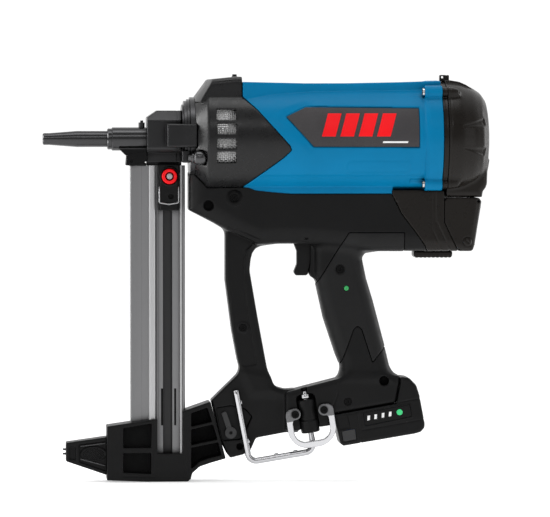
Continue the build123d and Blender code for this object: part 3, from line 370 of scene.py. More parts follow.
def finish_material(name, color, rough, metal=0.0, grain=1800.0, grain_bump=0.05, spread=0.12, rough_var=0.06, stretch=None,
                    wear=None, wear_amount=0.35, coat=0.0, edge=0.0, spec=0.5, speck=None, emit=None, painted_cavity_shade=0.0):
    """Grain, tone drift, roughness drift, rubbed edges, painted shade in cavities and a small edge radius, all
    procedural.
    """
    m, nt, p = new_material(name)
    coord = nt.nodes.new("ShaderNodeTexCoord").outputs["Object"]
    fine = noise(nt, coord, grain, 4, 0.65, stretch)
    broad = noise(nt, coord, 28.0, 3, 0.55, stretch)
    mid = noise(nt, coord, 160.0, 4, 0.6, stretch)
    dark, light = tuple(c * (1 - spread) for c in color), tuple(min(1, c * (1 + spread)) for c in color)
    tone = mix_color(nt, remap(nt, broad, 0, 1), dark, light)
    if speck:
        tone = mix_color(nt, remap(nt, fine, 0, 1, 0.56, 0.66), tone, speck)
    if wear:
        geo = nt.nodes.new("ShaderNodeNewGeometry")
        rubbed = remap(nt, geo.outputs["Pointiness"], 0, wear_amount, 0.53, 0.60)
        mul = nt.nodes.new("ShaderNodeMath")
        mul.operation = "MULTIPLY"
        nt.links.new(rubbed, mul.inputs[0])
        nt.links.new(remap(nt, mid, 0.2, 1.0, 0.35, 0.65), mul.inputs[1])
        tone = mix_color(nt, mul.outputs[0], tone, wear)
    # painted shade: an ambient-occlusion mask darkens the base colour in pockets, creases and corners
    if painted_cavity_shade:
        ao = nt.nodes.new("ShaderNodeAmbientOcclusion")
        ao.samples = 8
        ao.inputs["Distance"].default_value = 0.008
        painted_shade_tone = tuple(c * (1 - painted_cavity_shade) for c in color)
        tone = mix_color(nt, remap(nt, ao.outputs["AO"], 0, 1, 0.35, 0.85), painted_shade_tone, tone)
    nt.links.new(tone, p.inputs["Base Color"])
    nt.links.new(remap(nt, mid, rough - rough_var, rough + rough_var), p.inputs["Roughness"])
    p.inputs["Metallic"].default_value = metal
    p.inputs["Specular IOR Level"].default_value = spec
    p.inputs["Coat Weight"].default_value = coat
    p.inputs["Coat Roughness"].default_value = 0.12
    if emit:
        p.inputs["Emission Color"].default_value = (*emit[:3], 1)
        p.inputs["Emission Strength"].default_value = emit[3]
    bump = nt.nodes.new("ShaderNodeBump")
    bump.inputs["Strength"].default_value = grain_bump
    bump.inputs["Distance"].default_value = 0.0004
    nt.links.new(fine, bump.inputs["Height"])
    if edge:
        bev = nt.nodes.new("ShaderNodeBevel")
        bev.samples = 4
        bev.inputs["Radius"].default_value = edge
        nt.links.new(bev.outputs["Normal"], bump.inputs["Normal"])
    nt.links.new(bump.outputs["Normal"], p.inputs["Normal"])
    return m


BLACK = finish_material("black_plastic", (0.0047, 0.0047, 0.0049), 0.40, grain=1500, grain_bump=0.18, wear=(0.05, 0.05, 0.05), spec=0.15, painted_cavity_shade=0.85)
BLACK_CAD = finish_material("black_plastic_small", (0.0047, 0.0047, 0.0049), 0.40, grain=1500, grain_bump=0.18, edge=0.0005, spec=0.15, painted_cavity_shade=0.85)
RUBBER = finish_material("grip_rubber", (0.0068, 0.0068, 0.0071), 0.46, grain=900, grain_bump=0.3, wear=(0.04, 0.04, 0.04), spec=0.2, painted_cavity_shade=0.7)
CAP = finish_material("cap_plastic", (0.0078, 0.0060, 0.0046), 0.30, grain=1500, grain_bump=0.1, wear=(0.05, 0.045, 0.04), spec=0.2, painted_cavity_shade=0.8)
CAP_CAD = finish_material("cap_plastic_small", (0.0078, 0.0060, 0.0046), 0.30, grain=1500, grain_bump=0.1, edge=0.0005, spec=0.2, painted_cavity_shade=0.8)
BLUE = finish_material("blue_plastic", (0.0008, 0.176, 0.37), 0.34, grain=1300, grain_bump=0.06, spread=0.05, wear=(0.005, 0.27, 0.52), wear_amount=0.25, spec=0.08, painted_cavity_shade=0.75)
PLATE = finish_material("plate_dark", (0.04, 0.037, 0.039), 0.5, grain=2600, grain_bump=0.2, speck=(0.085, 0.085, 0.088), edge=0.0003, spec=0.3)
SHELL = finish_material("shell_grey", (0.0068, 0.0068, 0.0072), 0.30, grain=1100, grain_bump=0.09, wear=(0.07, 0.07, 0.07), spec=0.3, painted_cavity_shade=0.8)
NOSE = finish_material("nose_black", (0.032, 0.032, 0.033), 0.30, metal=0.9, rough_var=0.03, grain=1500, grain_bump=0.04, edge=0.0006, spec=0.4, painted_cavity_shade=0.85)
PROBE = finish_material("probe_steel", (0.052, 0.052, 0.0535), 0.2, metal=0.94, rough_var=0.02, grain=900, grain_bump=0.01, stretch=(0.3, 1, 1), painted_cavity_shade=0.8)
FLANGE = finish_material("flange_grey", (0.05, 0.05, 0.052), 0.30, metal=0.85, grain=900, grain_bump=0.04, stretch=(0.15, 1, 1), painted_cavity_shade=0.85)
STEEL = finish_material("steel", (0.45, 0.45, 0.46), 0.3, metal=1.0, grain=700, grain_bump=0.08, edge=0.0002, stretch=(0.2, 1, 1))
DARK_STEEL = finish_material("dark_steel", (0.07, 0.07, 0.072), 0.24, metal=0.9, grain=700, grain_bump=0.06, edge=0.0003, painted_cavity_shade=0.7)
CHROME = finish_material("chrome", (0.56, 0.56, 0.575), 0.1, metal=1.0, grain=500, grain_bump=0.0, rough_var=0.01, spread=0.03, painted_cavity_shade=0.5)
[n for n in CHROME.node_tree.nodes if n.type == "BSDF_PRINCIPLED"][0].inputs["Specular Tint"].default_value = (0.3, 0.3, 0.32, 1)
MESH = finish_material("mesh_steel", (0.55, 0.55, 0.55), 0.3, metal=0.85, grain=2500, grain_bump=0.1, spread=0.2, painted_cavity_shade=0.7)
ALU = finish_material("alu", (0.2, 0.2, 0.204), 0.32, metal=0.55, grain=700, grain_bump=0.02, spread=0.06, rough_var=0.04, stretch=(1, 1, 0.01), edge=0.0003, painted_cavity_shade=0.85)
ALU_PAINTED_HIGHLIGHT = finish_material("alu_painted_highlight", (0.46, 0.46, 0.466), 0.24, metal=0.55, grain=700, grain_bump=0.02, spread=0.03, rough_var=0.03, stretch=(1, 1, 0.01))
# painted shade: a near-black matte laid on the walls and floors of holes and pockets
PAINTED_SHADE_BLACK = finish_material("painted_recess_shade", (0.0022, 0.0022, 0.0023), 0.7, grain=900, grain_bump=0.1, spec=0.1)
ALU_PAINTED_SHADE = finish_material("alu_painted_shade", (0.034, 0.034, 0.035), 0.38, metal=0.4, grain=700, grain_bump=0.02, stretch=(1, 1, 0.01), painted_cavity_shade=0.9)
RED = finish_material("red_plastic", (0.9, 0.003, 0.008), 0.42, grain=1500, grain_bump=0.06, spread=0.05, edge=0.0004, spec=0.25)
GREEN = finish_material("green_light", (0.04, 0.6, 0.2), 0.4, grain=900, grain_bump=0.04, spread=0.06, edge=0.0003, emit=(0.04, 0.6, 0.2, 0.14))
GREEN_DIM = finish_material("green_light_small", (0.03, 0.38, 0.10), 0.25, grain=900, grain_bump=0.04, spread=0.3, edge=0.0003)
WHITE = finish_material("white_light", (0.8, 0.8, 0.8), 0.4, grain=900, grain_bump=0.04, spread=0.08, edge=0.0002, emit=(0.8, 0.8, 0.8, 0.08))
SCREW = finish_material("screw_black", (0.002, 0.002, 0.0021), 0.3, metal=0.0, grain=900, grain_bump=0.1, edge=0.0003, spec=0.1, painted_cavity_shade=0.6)
LEVER = finish_material("lever_plastic", (0.022, 0.022, 0.023), 0.38, grain=1500, grain_bump=0.15, edge=0.0005, spec=0.4)
RING_PAINTED_REFLECTION = finish_material("ring_painted_reflection", (0.17, 0.17, 0.175), 0.3, metal=0.9, grain=700, grain_bump=0.0, rough_var=0.02, painted_cavity_shade=0.7)
GASKET = finish_material("gasket_rubber", (0.010, 0.009, 0.008), 0.55, grain=900, grain_bump=0.2, edge=0.0003)
BOARD = finish_material("board_green", (0.01, 0.1, 0.035), 0.4, grain=900, grain_bump=0.2, edge=0.0002)
MOTOR = finish_material("motor_metal", (0.35, 0.35, 0.36), 0.35, metal=1.0, grain=900, grain_bump=0.1, edge=0.0004)
WRAP = finish_material("cell_wrap", (0.02, 0.07, 0.25), 0.3, grain=600, grain_bump=0.06, edge=0.0004)
CAN = finish_material("can_metal", (0.55, 0.55, 0.57), 0.25, metal=1.0, grain=700, grain_bump=0.06, edge=0.0005, stretch=(1, 0.2, 0.2))
BRASS = finish_material("brass", (0.55, 0.36, 0.12), 0.3, metal=1.0, grain=800, grain_bump=0.08, edge=0.0003)
CERAMIC = finish_material("ceramic", (0.7, 0.68, 0.62), 0.3, grain=600, grain_bump=0.05, edge=0.0005)

LOOK = {"black_plastic": BLACK_CAD, "grip_rubber": RUBBER, "cap_plastic": CAP_CAD, "blue_plastic": BLUE, "plate_dark": PLATE, "shell_grey": SHELL,
        "nose_black": NOSE, "flange_grey": FLANGE, "steel": STEEL, "chrome": CHROME, "mesh_steel": MESH, "alu": ALU, "red_plastic": RED,
        "green_light": GREEN, "white_light": WHITE, "screw_black": SCREW, "gasket_rubber": GASKET, "board_green": BOARD, "motor_metal": MOTOR,
        "cell_wrap": WRAP, "can_metal": CAN, "brass": BRASS, "ceramic": CERAMIC}
for part in frame["record"]["subparts"]:
    ob = NODES[part["node"]]
    ob.data.materials.clear()
    ob.data.materials.append(LOOK[part["material_slot"]])
# the funnel under the probe holder is blackened, the holder itself is bare
HOLDER = finish_material("holder_steel", (0.052, 0.052, 0.0535), 0.2, metal=0.94, rough_var=0.02, grain=900, grain_bump=0.01, stretch=(0.3, 1, 1), painted_cavity_shade=0.8)
nt = HOLDER.node_tree
base = [n for n in nt.nodes if n.type == "BSDF_PRINCIPLED"][0].inputs["Base Color"]
cut_z = nt.nodes.new("ShaderNodeSeparateXYZ")
nt.links.new(nt.nodes.new("ShaderNodeTexCoord").outputs["Object"], cut_z.inputs[0])
nt.links.new(mix_color(nt, remap(nt, cut_z.outputs["Z"], 0, 1, -0.0102, -0.0092), (0.014, 0.014, 0.0145), base.links[0].from_socket), base)
for node, look in (("probe_tube", PROBE), ("nose_holder", HOLDER), ("lock_lever", LEVER), ("pivot_pins", SCREW), ("support_rods", DARK_STEEL), ("power_led", GREEN_DIM), ("battery_latch", LEVER)):
    NODES[node].data.materials[0] = look

# ------------------------------------------------------------------ outlines shared with the frame
BARREL_R = 53.0
BELLY = [(139.5, -26), (139.5, -68.1, 2.5), (163.5, -80.6, 12), (176, -88), (205, -101.5, 8), (224, -100.3, 10), (245.3, -100.3, 10),
         (286.7, -103.7, 20), (311.7, -107.3, 20), (390, -107.6), (390, -26)]
GRIP = [(258.8, -70), (258.8, -127.8, 6), (261.7, -137.4, 6), (269.4, -172.0, 30), (280.9, -206.6, 30), (285.7, -218.2, 12),
        (283.0, -236), (347, -238), (339.5, -231, 5), (332.9, -218.2, 8), (328.5, -200, 30), (316.5, -154.7, 30), (310.2, -134.0, 15),
        (306.2, -114.5, 6), (309.0, -108.7, 3), (316, -106.8), (326, -103), (326, -70)]
PILLAR = [(174.6, -70), (174.6, -135.6, 20), (180.9, -183.7, 30), (186.2, -212, 20), (189.4, -223.5), (200, -246), (232, -246),
          (219.3, -235.7, 8), (214.5, -218.4, 10), (205.9, -172.2, 30), (198.0, -126, 20), (199.1, -115.5, 8), (200.6, -109.6, 5), (203.8, -104.9, 5), (208.4, -101.9, 5), (214.5, -100.3, 6), (226, -98.0), (226, -70)]
BRACKET = [(160.9, -250.6), (189.4, -222.9, 2), (216, -228, 6), (221.5, -240, 6), (240, -240.8), (244, -243), (244, -281.5), (235.7, -281.2, 3), (204, -287.1, 4), (198.7, -299.0, 4),
           (191.8, -303.0, 3), (179.3, -306.2, 2), (176, -302.1, 2), (170.8, -291.5, 3)]
BASE = [(232, -243.0, 5), (281, -230.5, 10), (291.5, -228.0, 10), (342.2, -227.2, 2), (342.2, -233.6, 1), (338.5, -253.0, 2), (336.6, -254.1),
        (277.8, -264.3), (276, -275), (235.7, -281.0, 4), (232, -279, 1)]
CHEVRON = [(120, 80), (189.5, 80), (189.5, 40.4), (203, 27.9), (234.3, -6.7, 2), (235.2, -10.6, 1.5), (227.7, -17.6, 3),
           (191.2, -44.6), (189.5, -46.5), (189.5, -80), (120, -80)]
LABEL = [(229.9, 21.6), (249.1, 30.9), (357.5, 29.6), (357.5, -7.7), (256.3, -7.4)]
SCREWS = [(182.3, -56.0, 3.6, 27.0), (284.4, -124.8, 3.6, 17.0), (191.4, -180.7, 3.4, 12.5), (292, -252, 3.4, 17.0)]
PANEL = [(176.8, -89.8), (177.6, -88.3), (203, -99.0, 3), (194.5, -106.5, 6), (191.8, -118, 10), (192.4, -135.2, 20), (197.2, -175, 30), (205.0, -216.5, 2),
         (192.0, -218.5, 2), (189.3, -216, 2), (184.2, -188, 20), (178.4, -135.2, 20), (176.9, -100, 8)]
PAD = [(292.5, -89.5), (266.1, -132.8, 2), (262.9, -138.2), (254, -139), (254, -190), (282.8, -218.4), (286.0, -214.5), (297.4, -182.4, 1.5), (301.5, -179.0, 2.5), (305.5, -182.4, 1.5),
       (315.8, -214.1), (328.2, -199.2), (336, -199.2), (318, -112), (345.4, -112), (345.4, -89.5)]
LEVER_RECESS = [(171.5, -290.0, 3), (165.5, -257.8, 1), (180, -255.5, 6), (194, -259.0, 3), (200.5, -266.5, 2), (190, -288.5, 4)]
SLEEVE_TOP = np.array((250.1, -14.0, -241.5))
SLEEVE_DIR = np.array((7.7, 0.0, -48.1)) / math.hypot(7.7, 48.1)
U = (math.cos(math.radians(8.9)), math.sin(math.radians(8.9)))


def ring(u, v):
    return (254.7 + u * U[0] - v * U[1], -261.7 + u * U[1] + v * U[0])


RING_EYES = [ring(-14.0, 0), ring(14.0, 0)]

# ------------------------------------------------------------------ handle frame


def handle_field(g, side):
    """Outer form of one half; side, -1 for the left half, is not used."""
    A = np.abs(g.Y)
    belly_w = 27.0 - 2.2 * step01((170 - g.X) / 30)
    f = pillow(g.poly(BELLY), A / belly_w * 27.0, -27.0, 27.0, 17, 11)
    grip = pillow(g.poly(GRIP), A, -17.0, 17.0, 13, 12.5)
    pillar = pillow(g.poly(PILLAR), A, -12.5, 12.5, 5.5, 4.5)
    bracket = pillow(g.poly(BRACKET), A, -11.0, 11.0, 2.2, 1.6)
    base = pillow(g.poly(BASE), A, -17.0, 17.0, 4.5, 3.0)
    f = smin(f, grip, 5)
    cheek = pillow(g.poly([(256.4, -92), (268, -92), (268, -137.5), (263.4, -136.6, 1), (257.2, -132.2, 1), (255.6, -129.3, 1), (256.6, -114.6, 6), (256.4, -104, 3)]), A, -9.6, 9.6, 1.0, 1.2)
    f = smin(f, cheek, 1.2)
    f = smin(f, pillar, 3.5)
    low = smin(base, bracket, 2.5)
    return smin(f, low, 5)


def handle_half(side):
    y0, y1 = (-28.2, 0.9) if side < 0 else (-0.9, 28.2)
    g = Grid(137, 372, y0, y1, -309, -24, 0.62)
    outer = handle_field(g, side)
    f = outer
    A = np.abs(g.Y)
    # side panel of the front pillar
    f = cut(f, np.maximum(g.poly(PANEL), 11.3 - A), 0.8)
    # hollow of the soft cover, which wraps round the grip
    f = cut(f, np.maximum(g.poly(PAD) - 0.3, -(outer + 1.7)))
    # crease on the belly
    groove = g.line([(177.4, -84.0), (206.2, -96.6)])
    f = f + 0.9 * np.exp(-(groove / 1.2) ** 2).astype(F)
    # thin line below the flat of the base
    groove = g.line([(244, -262.5), (277.8, -256.4), (282.5, -243.4), (282.5, -234)])
    f = f + 0.55 * np.exp(-(groove / 0.55) ** 2).astype(F)
    shell = np.maximum(f, -(outer + 2.6 + 1.6 * (g.poly(PAD) < 0.5)))
    for x, z, r, w in SCREWS:
        shell = np.minimum(shell, bore_y(g, x, z, 5.6, -w + 0.3, w - 0.3))
    for x, z, r, w in ((157.8, -63.3, 4.9, 27), (188.4, -295.2, 3.2, 11), (326.9, -232.2, 4.6, 17)):
        shell = np.minimum(shell, np.maximum(bore_y(g, x, z, r + 2, -w + 2, w - 2), outer + 1.5))
    ring_boss = pillow(np.hypot(g.X - 182.3, g.Z + 56.0) - 7.4, A, -27.9, 27.9, 1.4, 1.2)
    shell = smin(shell, np.maximum(ring_boss, 20 - A), 0.8)
    shell = np.minimum(shell, np.maximum(np.maximum(g.poly(LEVER_RECESS), A - 10.9), 6.2 - A))
    f = shell
    # seats of the barrel group, the nose block and the fuel bay
    R = np.hypot(g.Y, g.Z)
    cone = (-12.9 * (g.X - 144.8) + 12 * (R - 40.5)) / 17.62
    seat = np.maximum(np.maximum(R - BARREL_R - 0.25, cone - 0.1), 120 - g.X)
    f = cut(f, seat, 0.5)
    f = cut(f, box3(g, 120, 136.4, -40, 40, -60, 10))
    f = cut(f, g.poly([(188.3, -20), (188.3, -43.6), (203, -49.0), (237.6, -52.5), (410, -52.7), (410, -20)]) + 0 * g.Y, 0.3)
    f = cut(f, g.poly([(331.6, -40), (331.6, -50), (342.6, -71.5), (356.6, -89.8), (366.2, -103.0), (368.2, -112), (420, -112), (420, -40)]) + 0 * g.Y, 0.5)
    f = cut(f, g.poly([(277.8, -264.4), (336.6, -254.2), (338.6, -253.0), (342.3, -233.6), (342.3, -227.3), (344.5, -215), (400, -215), (400, -310), (277, -310), (275.8, -276)]) + 0 * g.Y, 0.4)
    f = cut(f, np.maximum(g.poly([(262, -280), (262, -263.6), (345.5, -249.2), (345.5, -280)]), A - 8.4))
    f = cut(f, box3(g, 236, 262.6, -6.5, 6.5, -133.5, -86), 0.4)
    # seat of the hook sleeve
    P = [g.X - SLEEVE_TOP[0], g.Y - SLEEVE_TOP[1], g.Z - SLEEVE_TOP[2]]
    t = P[0] * SLEEVE_DIR[0] + P[2] * SLEEVE_DIR[2]
    q = np.sqrt(np.maximum(P[0] ** 2 + P[1] ** 2 + P[2] ** 2 - t * t, 0))
    seat = np.maximum(smax(q - 9.3, 3.2 - t, 5.0), t - 60)
    seat = np.minimum(seat, np.maximum(np.maximum(q - 3.4, -t - 6), t - 20))
    if side < 0:
        f = cut(f, seat, 0.4)
        f = cut(f, np.maximum(g.poly(LEVER_RECESS), 8.2 - A), 0.5)
        f = cut(f, bore_y(g, 179.8, -282, 1.9, -20, -4))
        for x, z in RING_EYES:
            f = np.minimum(f, bore_y(g, x, z, 4.4, -19.3, -15.3))
            f = cut(f, bore_y(g, x, z, 1.95, -20, -8))
        f = cut(f, bore_y(g, 290.5, -143.1, 2.45, -20, -10))
    for x, z, r, w in SCREWS:
        f = cut(f, bore_y(g, x, z, r, w - 3.0, w + 4) if side > 0 else bore_y(g, x, z, r, -w - 4, -w + 3.0), 0.5)
        f = cut(f, bore_y(g, x, z, 1.5, -30, 30))
    for x, z, r, depth, w in ((157.8, -63.3, 4.9, 8, 27), (188.4, -295.2, 3.2, 8, 11), (326.9, -232.2, 4.6, 9, 17)):
        hole = bore_y(g, x, z, r, w - depth, w + 4) if side > 0 else bore_y(g, x, z, r, -w - 4, -w + depth)
        f = cut(f, hole, 0.5)
    f = cut(f, bore_y(g, 251.5, -94.5, 1.75, -24.2, 24.2))
    f = np.maximum(f, g.Y + 0.04 if side < 0 else 0.04 - g.Y)
    return g, f, outer


for side, word, node in ((-1, "left", "handle_shell_left"), (1, "right", "handle_shell_right")):
    g, f, outer = handle_half(side)
    frame_half = shape("handle_frame_" + word, g, f, BLACK, "root", (node,))
    frame_half.data.materials.append(PAINTED_SHADE_BLACK)
    frame_half.data.materials.append(SCREW)
    # painted shade: the walls and floors inside the screw and bolt holes take the near-black recess material
    for hx, hz, hr, hw in SCREWS + [(157.8, -63.3, 4.9, 27.0), (188.4, -295.2, 3.2, 11.0), (326.9, -232.2, 4.6, 17.0)]:
        shade_faces(frame_half, lambda x, y, z, n: (np.hypot(x - hx, z - hz) < hr + 0.5) & (np.abs(y) > hw - 9) & (np.abs(y) < hw - 0.75), 1)
    shade_faces(frame_half, lambda x, y, z, n: (np.hypot(x - 182.3, z + 56.0) > 3.9) & (np.hypot(x - 182.3, z + 56.0) < 8.0) & (np.abs(y) > 27.05), 2)
    pad = smax(outer - 0.22, g.poly(PAD) + 0 * g.Y, 0.7)
    pad = np.maximum(pad, -(outer + 1.5))
    pad = np.maximum(pad, g.Y + 0.12 if side < 0 else 0.12 - g.Y)
    pad = cut(pad, bore_y(g, 284.4, -124.8, 4.9, -30, 30), 0.4)
    if side < 0:
        pad = cut(pad, bore_y(g, 290.5, -143.1, 2.5, -30, 30), 0.4)
    pad = cut(pad, g.poly([(331.6, -40), (331.6, -50), (342.6, -71.5), (356.6, -89.8), (366.2, -103.0), (368.2, -112), (420, -112), (420, -40)]) + 0 * g.Y, 0.4)
    shape("grip_cover_" + word, g, pad, RUBBER, "root", ("grip_pads",))
    del g, f, outer, pad

# ------------------------------------------------------------------ barrel group


def plane_xr(X, R, p, q):
    """Signed distance to the line p to q in (x, r), positive outside for a profile drawn front to rear."""
    dx, dr = q[0] - p[0], q[1] - p[1]
    n = math.hypot(dx, dr)
    return (-dr * (X - p[0]) + dx * (R - p[1])) / n


g = Grid(143.5, 240, -55, 55, -55, 64, 0.7)
R = np.hypot(g.Y, g.Z)
f = smax(R - BARREL_R, plane_xr(g.X, R, (144.8, 40.1), (156.8, 53.0)), 1.6)
bump = smax(np.abs(g.Y) - 35.0, g.Z - np.minimum(57.0 + 2.6 * (g.X - 156.8) / 26, 59.6), 7.0)
bump = smax(bump, plane_xr(g.X, np.hypot(0.86 * g.Y, g.Z), (144.8, 40.5), (156.8, 57.0)), 1.2)
bump = smax(bump, 35 - g.Z, 0.5)
f = smin(f, bump, 0.8)
f = np.maximum(f, 144.85 - g.X)
inner = smax(R - 49.8, plane_xr(g.X, R, (147.6, 38.6), (158, 49.8)), 1.0)
f = cut(f, inner)
f = cut(f, bore_x(g, 0, 0, 30, 140, 150))
f = smax(f, g.poly(CHEVRON) + 0 * g.Y + 0.12, 0.5)
for z0, z1 in ((17.9, 28.0), (5.1, 14.7), (-9.3, 0.7), (-22.1, -11.8)):
    f = cut(f, np.maximum(g.poly([(164.5, z0, 1), (183, z0, 1), (183, z1, 1), (164.5, z1, 1)]), 34 - np.abs(g.Y)), 0.5)
for s in (-1, 1):
    f = cut(f, bore_x(g, s * 43.0, -17.6, 7.2, 138, 154.6), 0.4)
    f = cut(f, box3(g, 117, 146.6, min(s * 18, s * 45), max(s * 18, s * 45), -7.9, 14.5))
f = np.minimum(f, np.maximum(np.hypot(g.X - 183.9, g.Y) - 2.4, np.maximum(56 - g.Z, smax(g.Z - 62.1, -1.0, 0.4))))
shape("front_cover", g, f, SHELL, "root", ("front_shell",))

g = Grid(188.5, 381.5, -57.5, 57.5, -57.5, 57.5, 0.75)
R = np.hypot(g.Y, g.Z)
plate = g.poly(LABEL)
tip = g.poly([(221.5, 21.3), (247.5, 35.0), (366, 35.0), (366, -12), (252.5, -12)])
depth = 0.95 * step01(1 - np.maximum(plate, 0) / 1.1)
depth = np.maximum(depth, 1.0 * step01(1 - np.maximum(plate, 0) / 8.5) * step01((262 - g.X) / 14))
depth = np.where(plate < 0.35, 1.55, depth)
slot = g.poly([(288.6, -21.2, 5), (349.2, -21.2, 3), (349.2, -31.7, 3), (288.6, -31.7, 5)])
depth = depth - 0.55 * step01(0.5 - slot / 1.8) + 0.6 * step01((-33.5 - g.Z) / 2.4)
f = R - (BARREL_R - depth)
half_w = np.interp(g.X[:, 0, 0], [189.5, 196, 218.4, 256.9, 338.6, 381], [36.8, 36.2, 31.5, 27.5, 25.5, 24.5]).astype(F)[:, None, None]
top = np.interp(g.X[:, 0, 0], [189.5, 250, 290, 340, 381], [54.6, 53.3, 53.4, 54.4, 55.8]).astype(F)[:, None, None]
spine = smax(np.abs(g.Y) - half_w, g.Z - top, 1.6)
spine = np.maximum(spine, 30 - g.Z)
f = smin(f, spine, 0.8)
f = smin(f, np.maximum(smax(np.abs(g.Y) - 26.4, -52.9 - g.Z, 2.0), g.Z + 30) + 100 * (g.X > 334), 0.5)
flange = smax(R - np.interp(g.X[:, 0, 0], [363.6, 367.5, 381], [54.2, 55.9, 56.1]).astype(F)[:, None, None], 363.6 - g.X, 1.0)
f = smin(f, flange, 1.0)
for y in (-36, 36):
    for z in (44.5, -42.5):
        boss = smax(np.hypot(g.Y - y, g.Z - z) - 6.6, 363.4 - g.X, 0.8)
        f = smin(f, boss, 1.6)
f = np.maximum(f, smax(189.6 - g.X, g.X - 380.4, 0.3))
f = cut(f, R - 49.8 + 0 * g.X)
f = smax(f, -(g.poly(CHEVRON) - 0.12) + 0 * g.Y, 0.5)
f = cut(f, g.poly([(185, -45.9), (190.5, -45.9), (203, -50.7), (237.6, -53.6), (237.6, -60), (185, -60)]) + 0 * g.Y, 0.3)
for y in (-36, 36):
    for z in (44.5, -42.5):
        f = cut(f, bore_x(g, y, z, 2.2, 350, 390))
        f = cut(f, bore_x(g, y, z, 4.7, 350, 365.6), 0.3)
shape("barrel_body", g, f, BLUE, "root", ("barrel_housing",))

g = Grid(379.8, 386.6, -56.4, 56.4, -56.4, 56.4, 0.6)
R = np.hypot(g.Y, g.Z)
f = smax(R - 55.0 + 0 * g.X, 0.45 - (g.X - 380.05), 0.3)
for y in (-36, 36):
    for z in (44.5, -42.5):
        f = smin(f, np.maximum(np.hypot(g.Y - y, g.Z - z) - 5.0, 380.5 - g.X), 1.5)
f = np.maximum(f, g.X - 385.8)
f = cut(f, R - 50.0 + 0 * g.X)
f = f + (0.4 * np.exp(-((g.X - 383.2) / 0.5) ** 2) * (R > 52)).astype(F)
shape("gasket_ring", g, f, CAP, "root", ("rear_gasket",))

# Rear cap
CAP_OUT = [(385.8, 55.7), (390.2, 55.4), (399.2, 54.2), (412.2, 49.4), (420.2, 44.0), (425.1, 37.0), (427.2, 27), (428.6, 9), (428.7, 0)]
g = Grid(380.5, 429.6, -57, 57, -57, 63, 0.62)
R = np.hypot(g.Y, g.Z)
f = R - 56.0
for p, q in zip(CAP_OUT[:-1], CAP_OUT[1:]):
    f = smax(f, plane_xr(g.X, R, p, q), 0.8)
skirt = pillow(g.poly([(380, -15), (427.4, -20), (425.6, -31.3, 2), (425.2, -42.9, 3), (423.9, -46.6, 2), (421.2, -50.2, 2), (420.3, -55.75), (380, -55.75)]), np.abs(g.Y), -27.5, 27.5, 5.5, 4.0)
f = smin(f, skirt, 2.0)
flat = smax(np.abs(g.Y) - 14.0, g.Z - np.interp(g.X[:, 0, 0], [385, 390.2, 399.2, 406, 412], [56.4, 56.4, 54.9, 52.0, 48]).astype(F)[:, None, None], 1.2)
f = smin(f, np.maximum(np.maximum(flat, 40 - g.Z), g.X - 411), 1.5)
for y in (-36, 36):
    for z in (44.5, -42.5):
        f = smin(f, smax(np.hypot(g.Y - y, g.Z - z) - (5.2 - 1.8 * step01((g.X - 387) / 10)), g.X - 397.5, 4.0), 4.5)
# wedge scallops
for pts, sx in (([(398.5, 13.2), (421, 21.5, 2), (423, 11.5, 1), (400, 11.2)], 1), ([(400, -7.2), (423, -7.4, 1), (421, -17.2, 2), (398.5, -9.2)], 1)):
    d = g.poly(pts)
    f = f + (1.3 * step01(-d / 3.0) * step01((np.abs(g.Y) - 30) / 6)).astype(F)
f = np.maximum(f, 385.85 - g.X)
f = cut(f, np.maximum(R - 50, np.maximum(plane_xr(g.X, R, (396, 50), (416.5, 41)), plane_xr(g.X, R, (416.5, 41), (424.8, 9)))))
lug = smax(smax(np.abs(g.Y) - 4.0, np.abs(g.X - 386.1) - 4.6, 0.6), np.abs(g.Z - 58.2) - 3.3, 1.0)
lug = cut(lug, bore_y(g, 384.2, 59.3, 1.25, -9, 9))
f = np.minimum(f, lug)
groove = np.abs(g.X - 388.2)
f = f + (0.5 * np.exp(-(groove / 0.6) ** 2) * (R > 48)).astype(F)
for y in (-36, 36):
    for z in (44.5, -42.5):
        f = cut(f, bore_x(g, y, z, 2.1, 380, 396.6))
shape("end_cap", g, f, CAP, "root", ("rear_cap",))

# ------------------------------------------------------------------ fuel bay, door and latch
g = Grid(332, 421, -28.4, 28.4, -109, -49, 0.6)
A = np.abs(g.Y)
bay = [(333.8, -53.3), (342.9, -71.4), (356.8, -89.8), (366.4, -103.0), (368.0, -107.8), (397.2, -107.8), (383.8, -79.7), (383.8, -56.6), (383.8, -47), (333, -47)]
d = g.poly(bay)
f = pillow(d, A, -27.5, 27.5, 1.2, 1.0)
round_low = pillow(g.poly([(320, -40), (320, -107.8), (420, -107.8), (420, -40)]), A, -27.5, 27.5, 12, 8.5)
f = smax(f, round_low, 0.6)
for pts, w, dep in (([(338.6, -60), (338.6, -73.1), (345.4, -89.5), (347.3, -104.9)], 0.6, 0.5), ([(376.6, -50), (376.6, -79.8), (389.6, -107.4)], 0.7, 0.7),
                    ([(373.3, -50), (373.3, -88.5), (381.5, -107.4)], 0.6, 0.5)):
    f = f + (dep * np.exp(-(g.line(pts) / w) ** 2) * (A > 12)).astype(F)
R = np.hypot(g.Y, g.Z)
f = cut(f, np.maximum(363.3 - g.X, R - 56.15))
f = cut(f, R - 53.15 + 0 * g.X)
f = cut(f, bore_x(g, 0, -79.5, 15.3, 320, 400))
f = np.minimum(f, box3(g, 380, 411.4, -22, 22, -59.2, -56.65, 0.3))
for y in (-16, 8):
    f = np.minimum(f, np.maximum(np.minimum(np.hypot(g.X - 416.8, g.Z + 59.7) - 3.2, box3(g, 408, 416.8, y, y + 8, -60.5, -56.7)), np.abs(g.Y - y - 4) - 4))
f = cut(f, bore_y(g, 416.8, -59.7, 1.45, -30, 30))
f = cut(f, box3(g, 368.5, 394, -6.2, 6.2, -108.5, -104.4))
shape("bay_housing", g, f, CAP, "root", ("fuel_bay",))

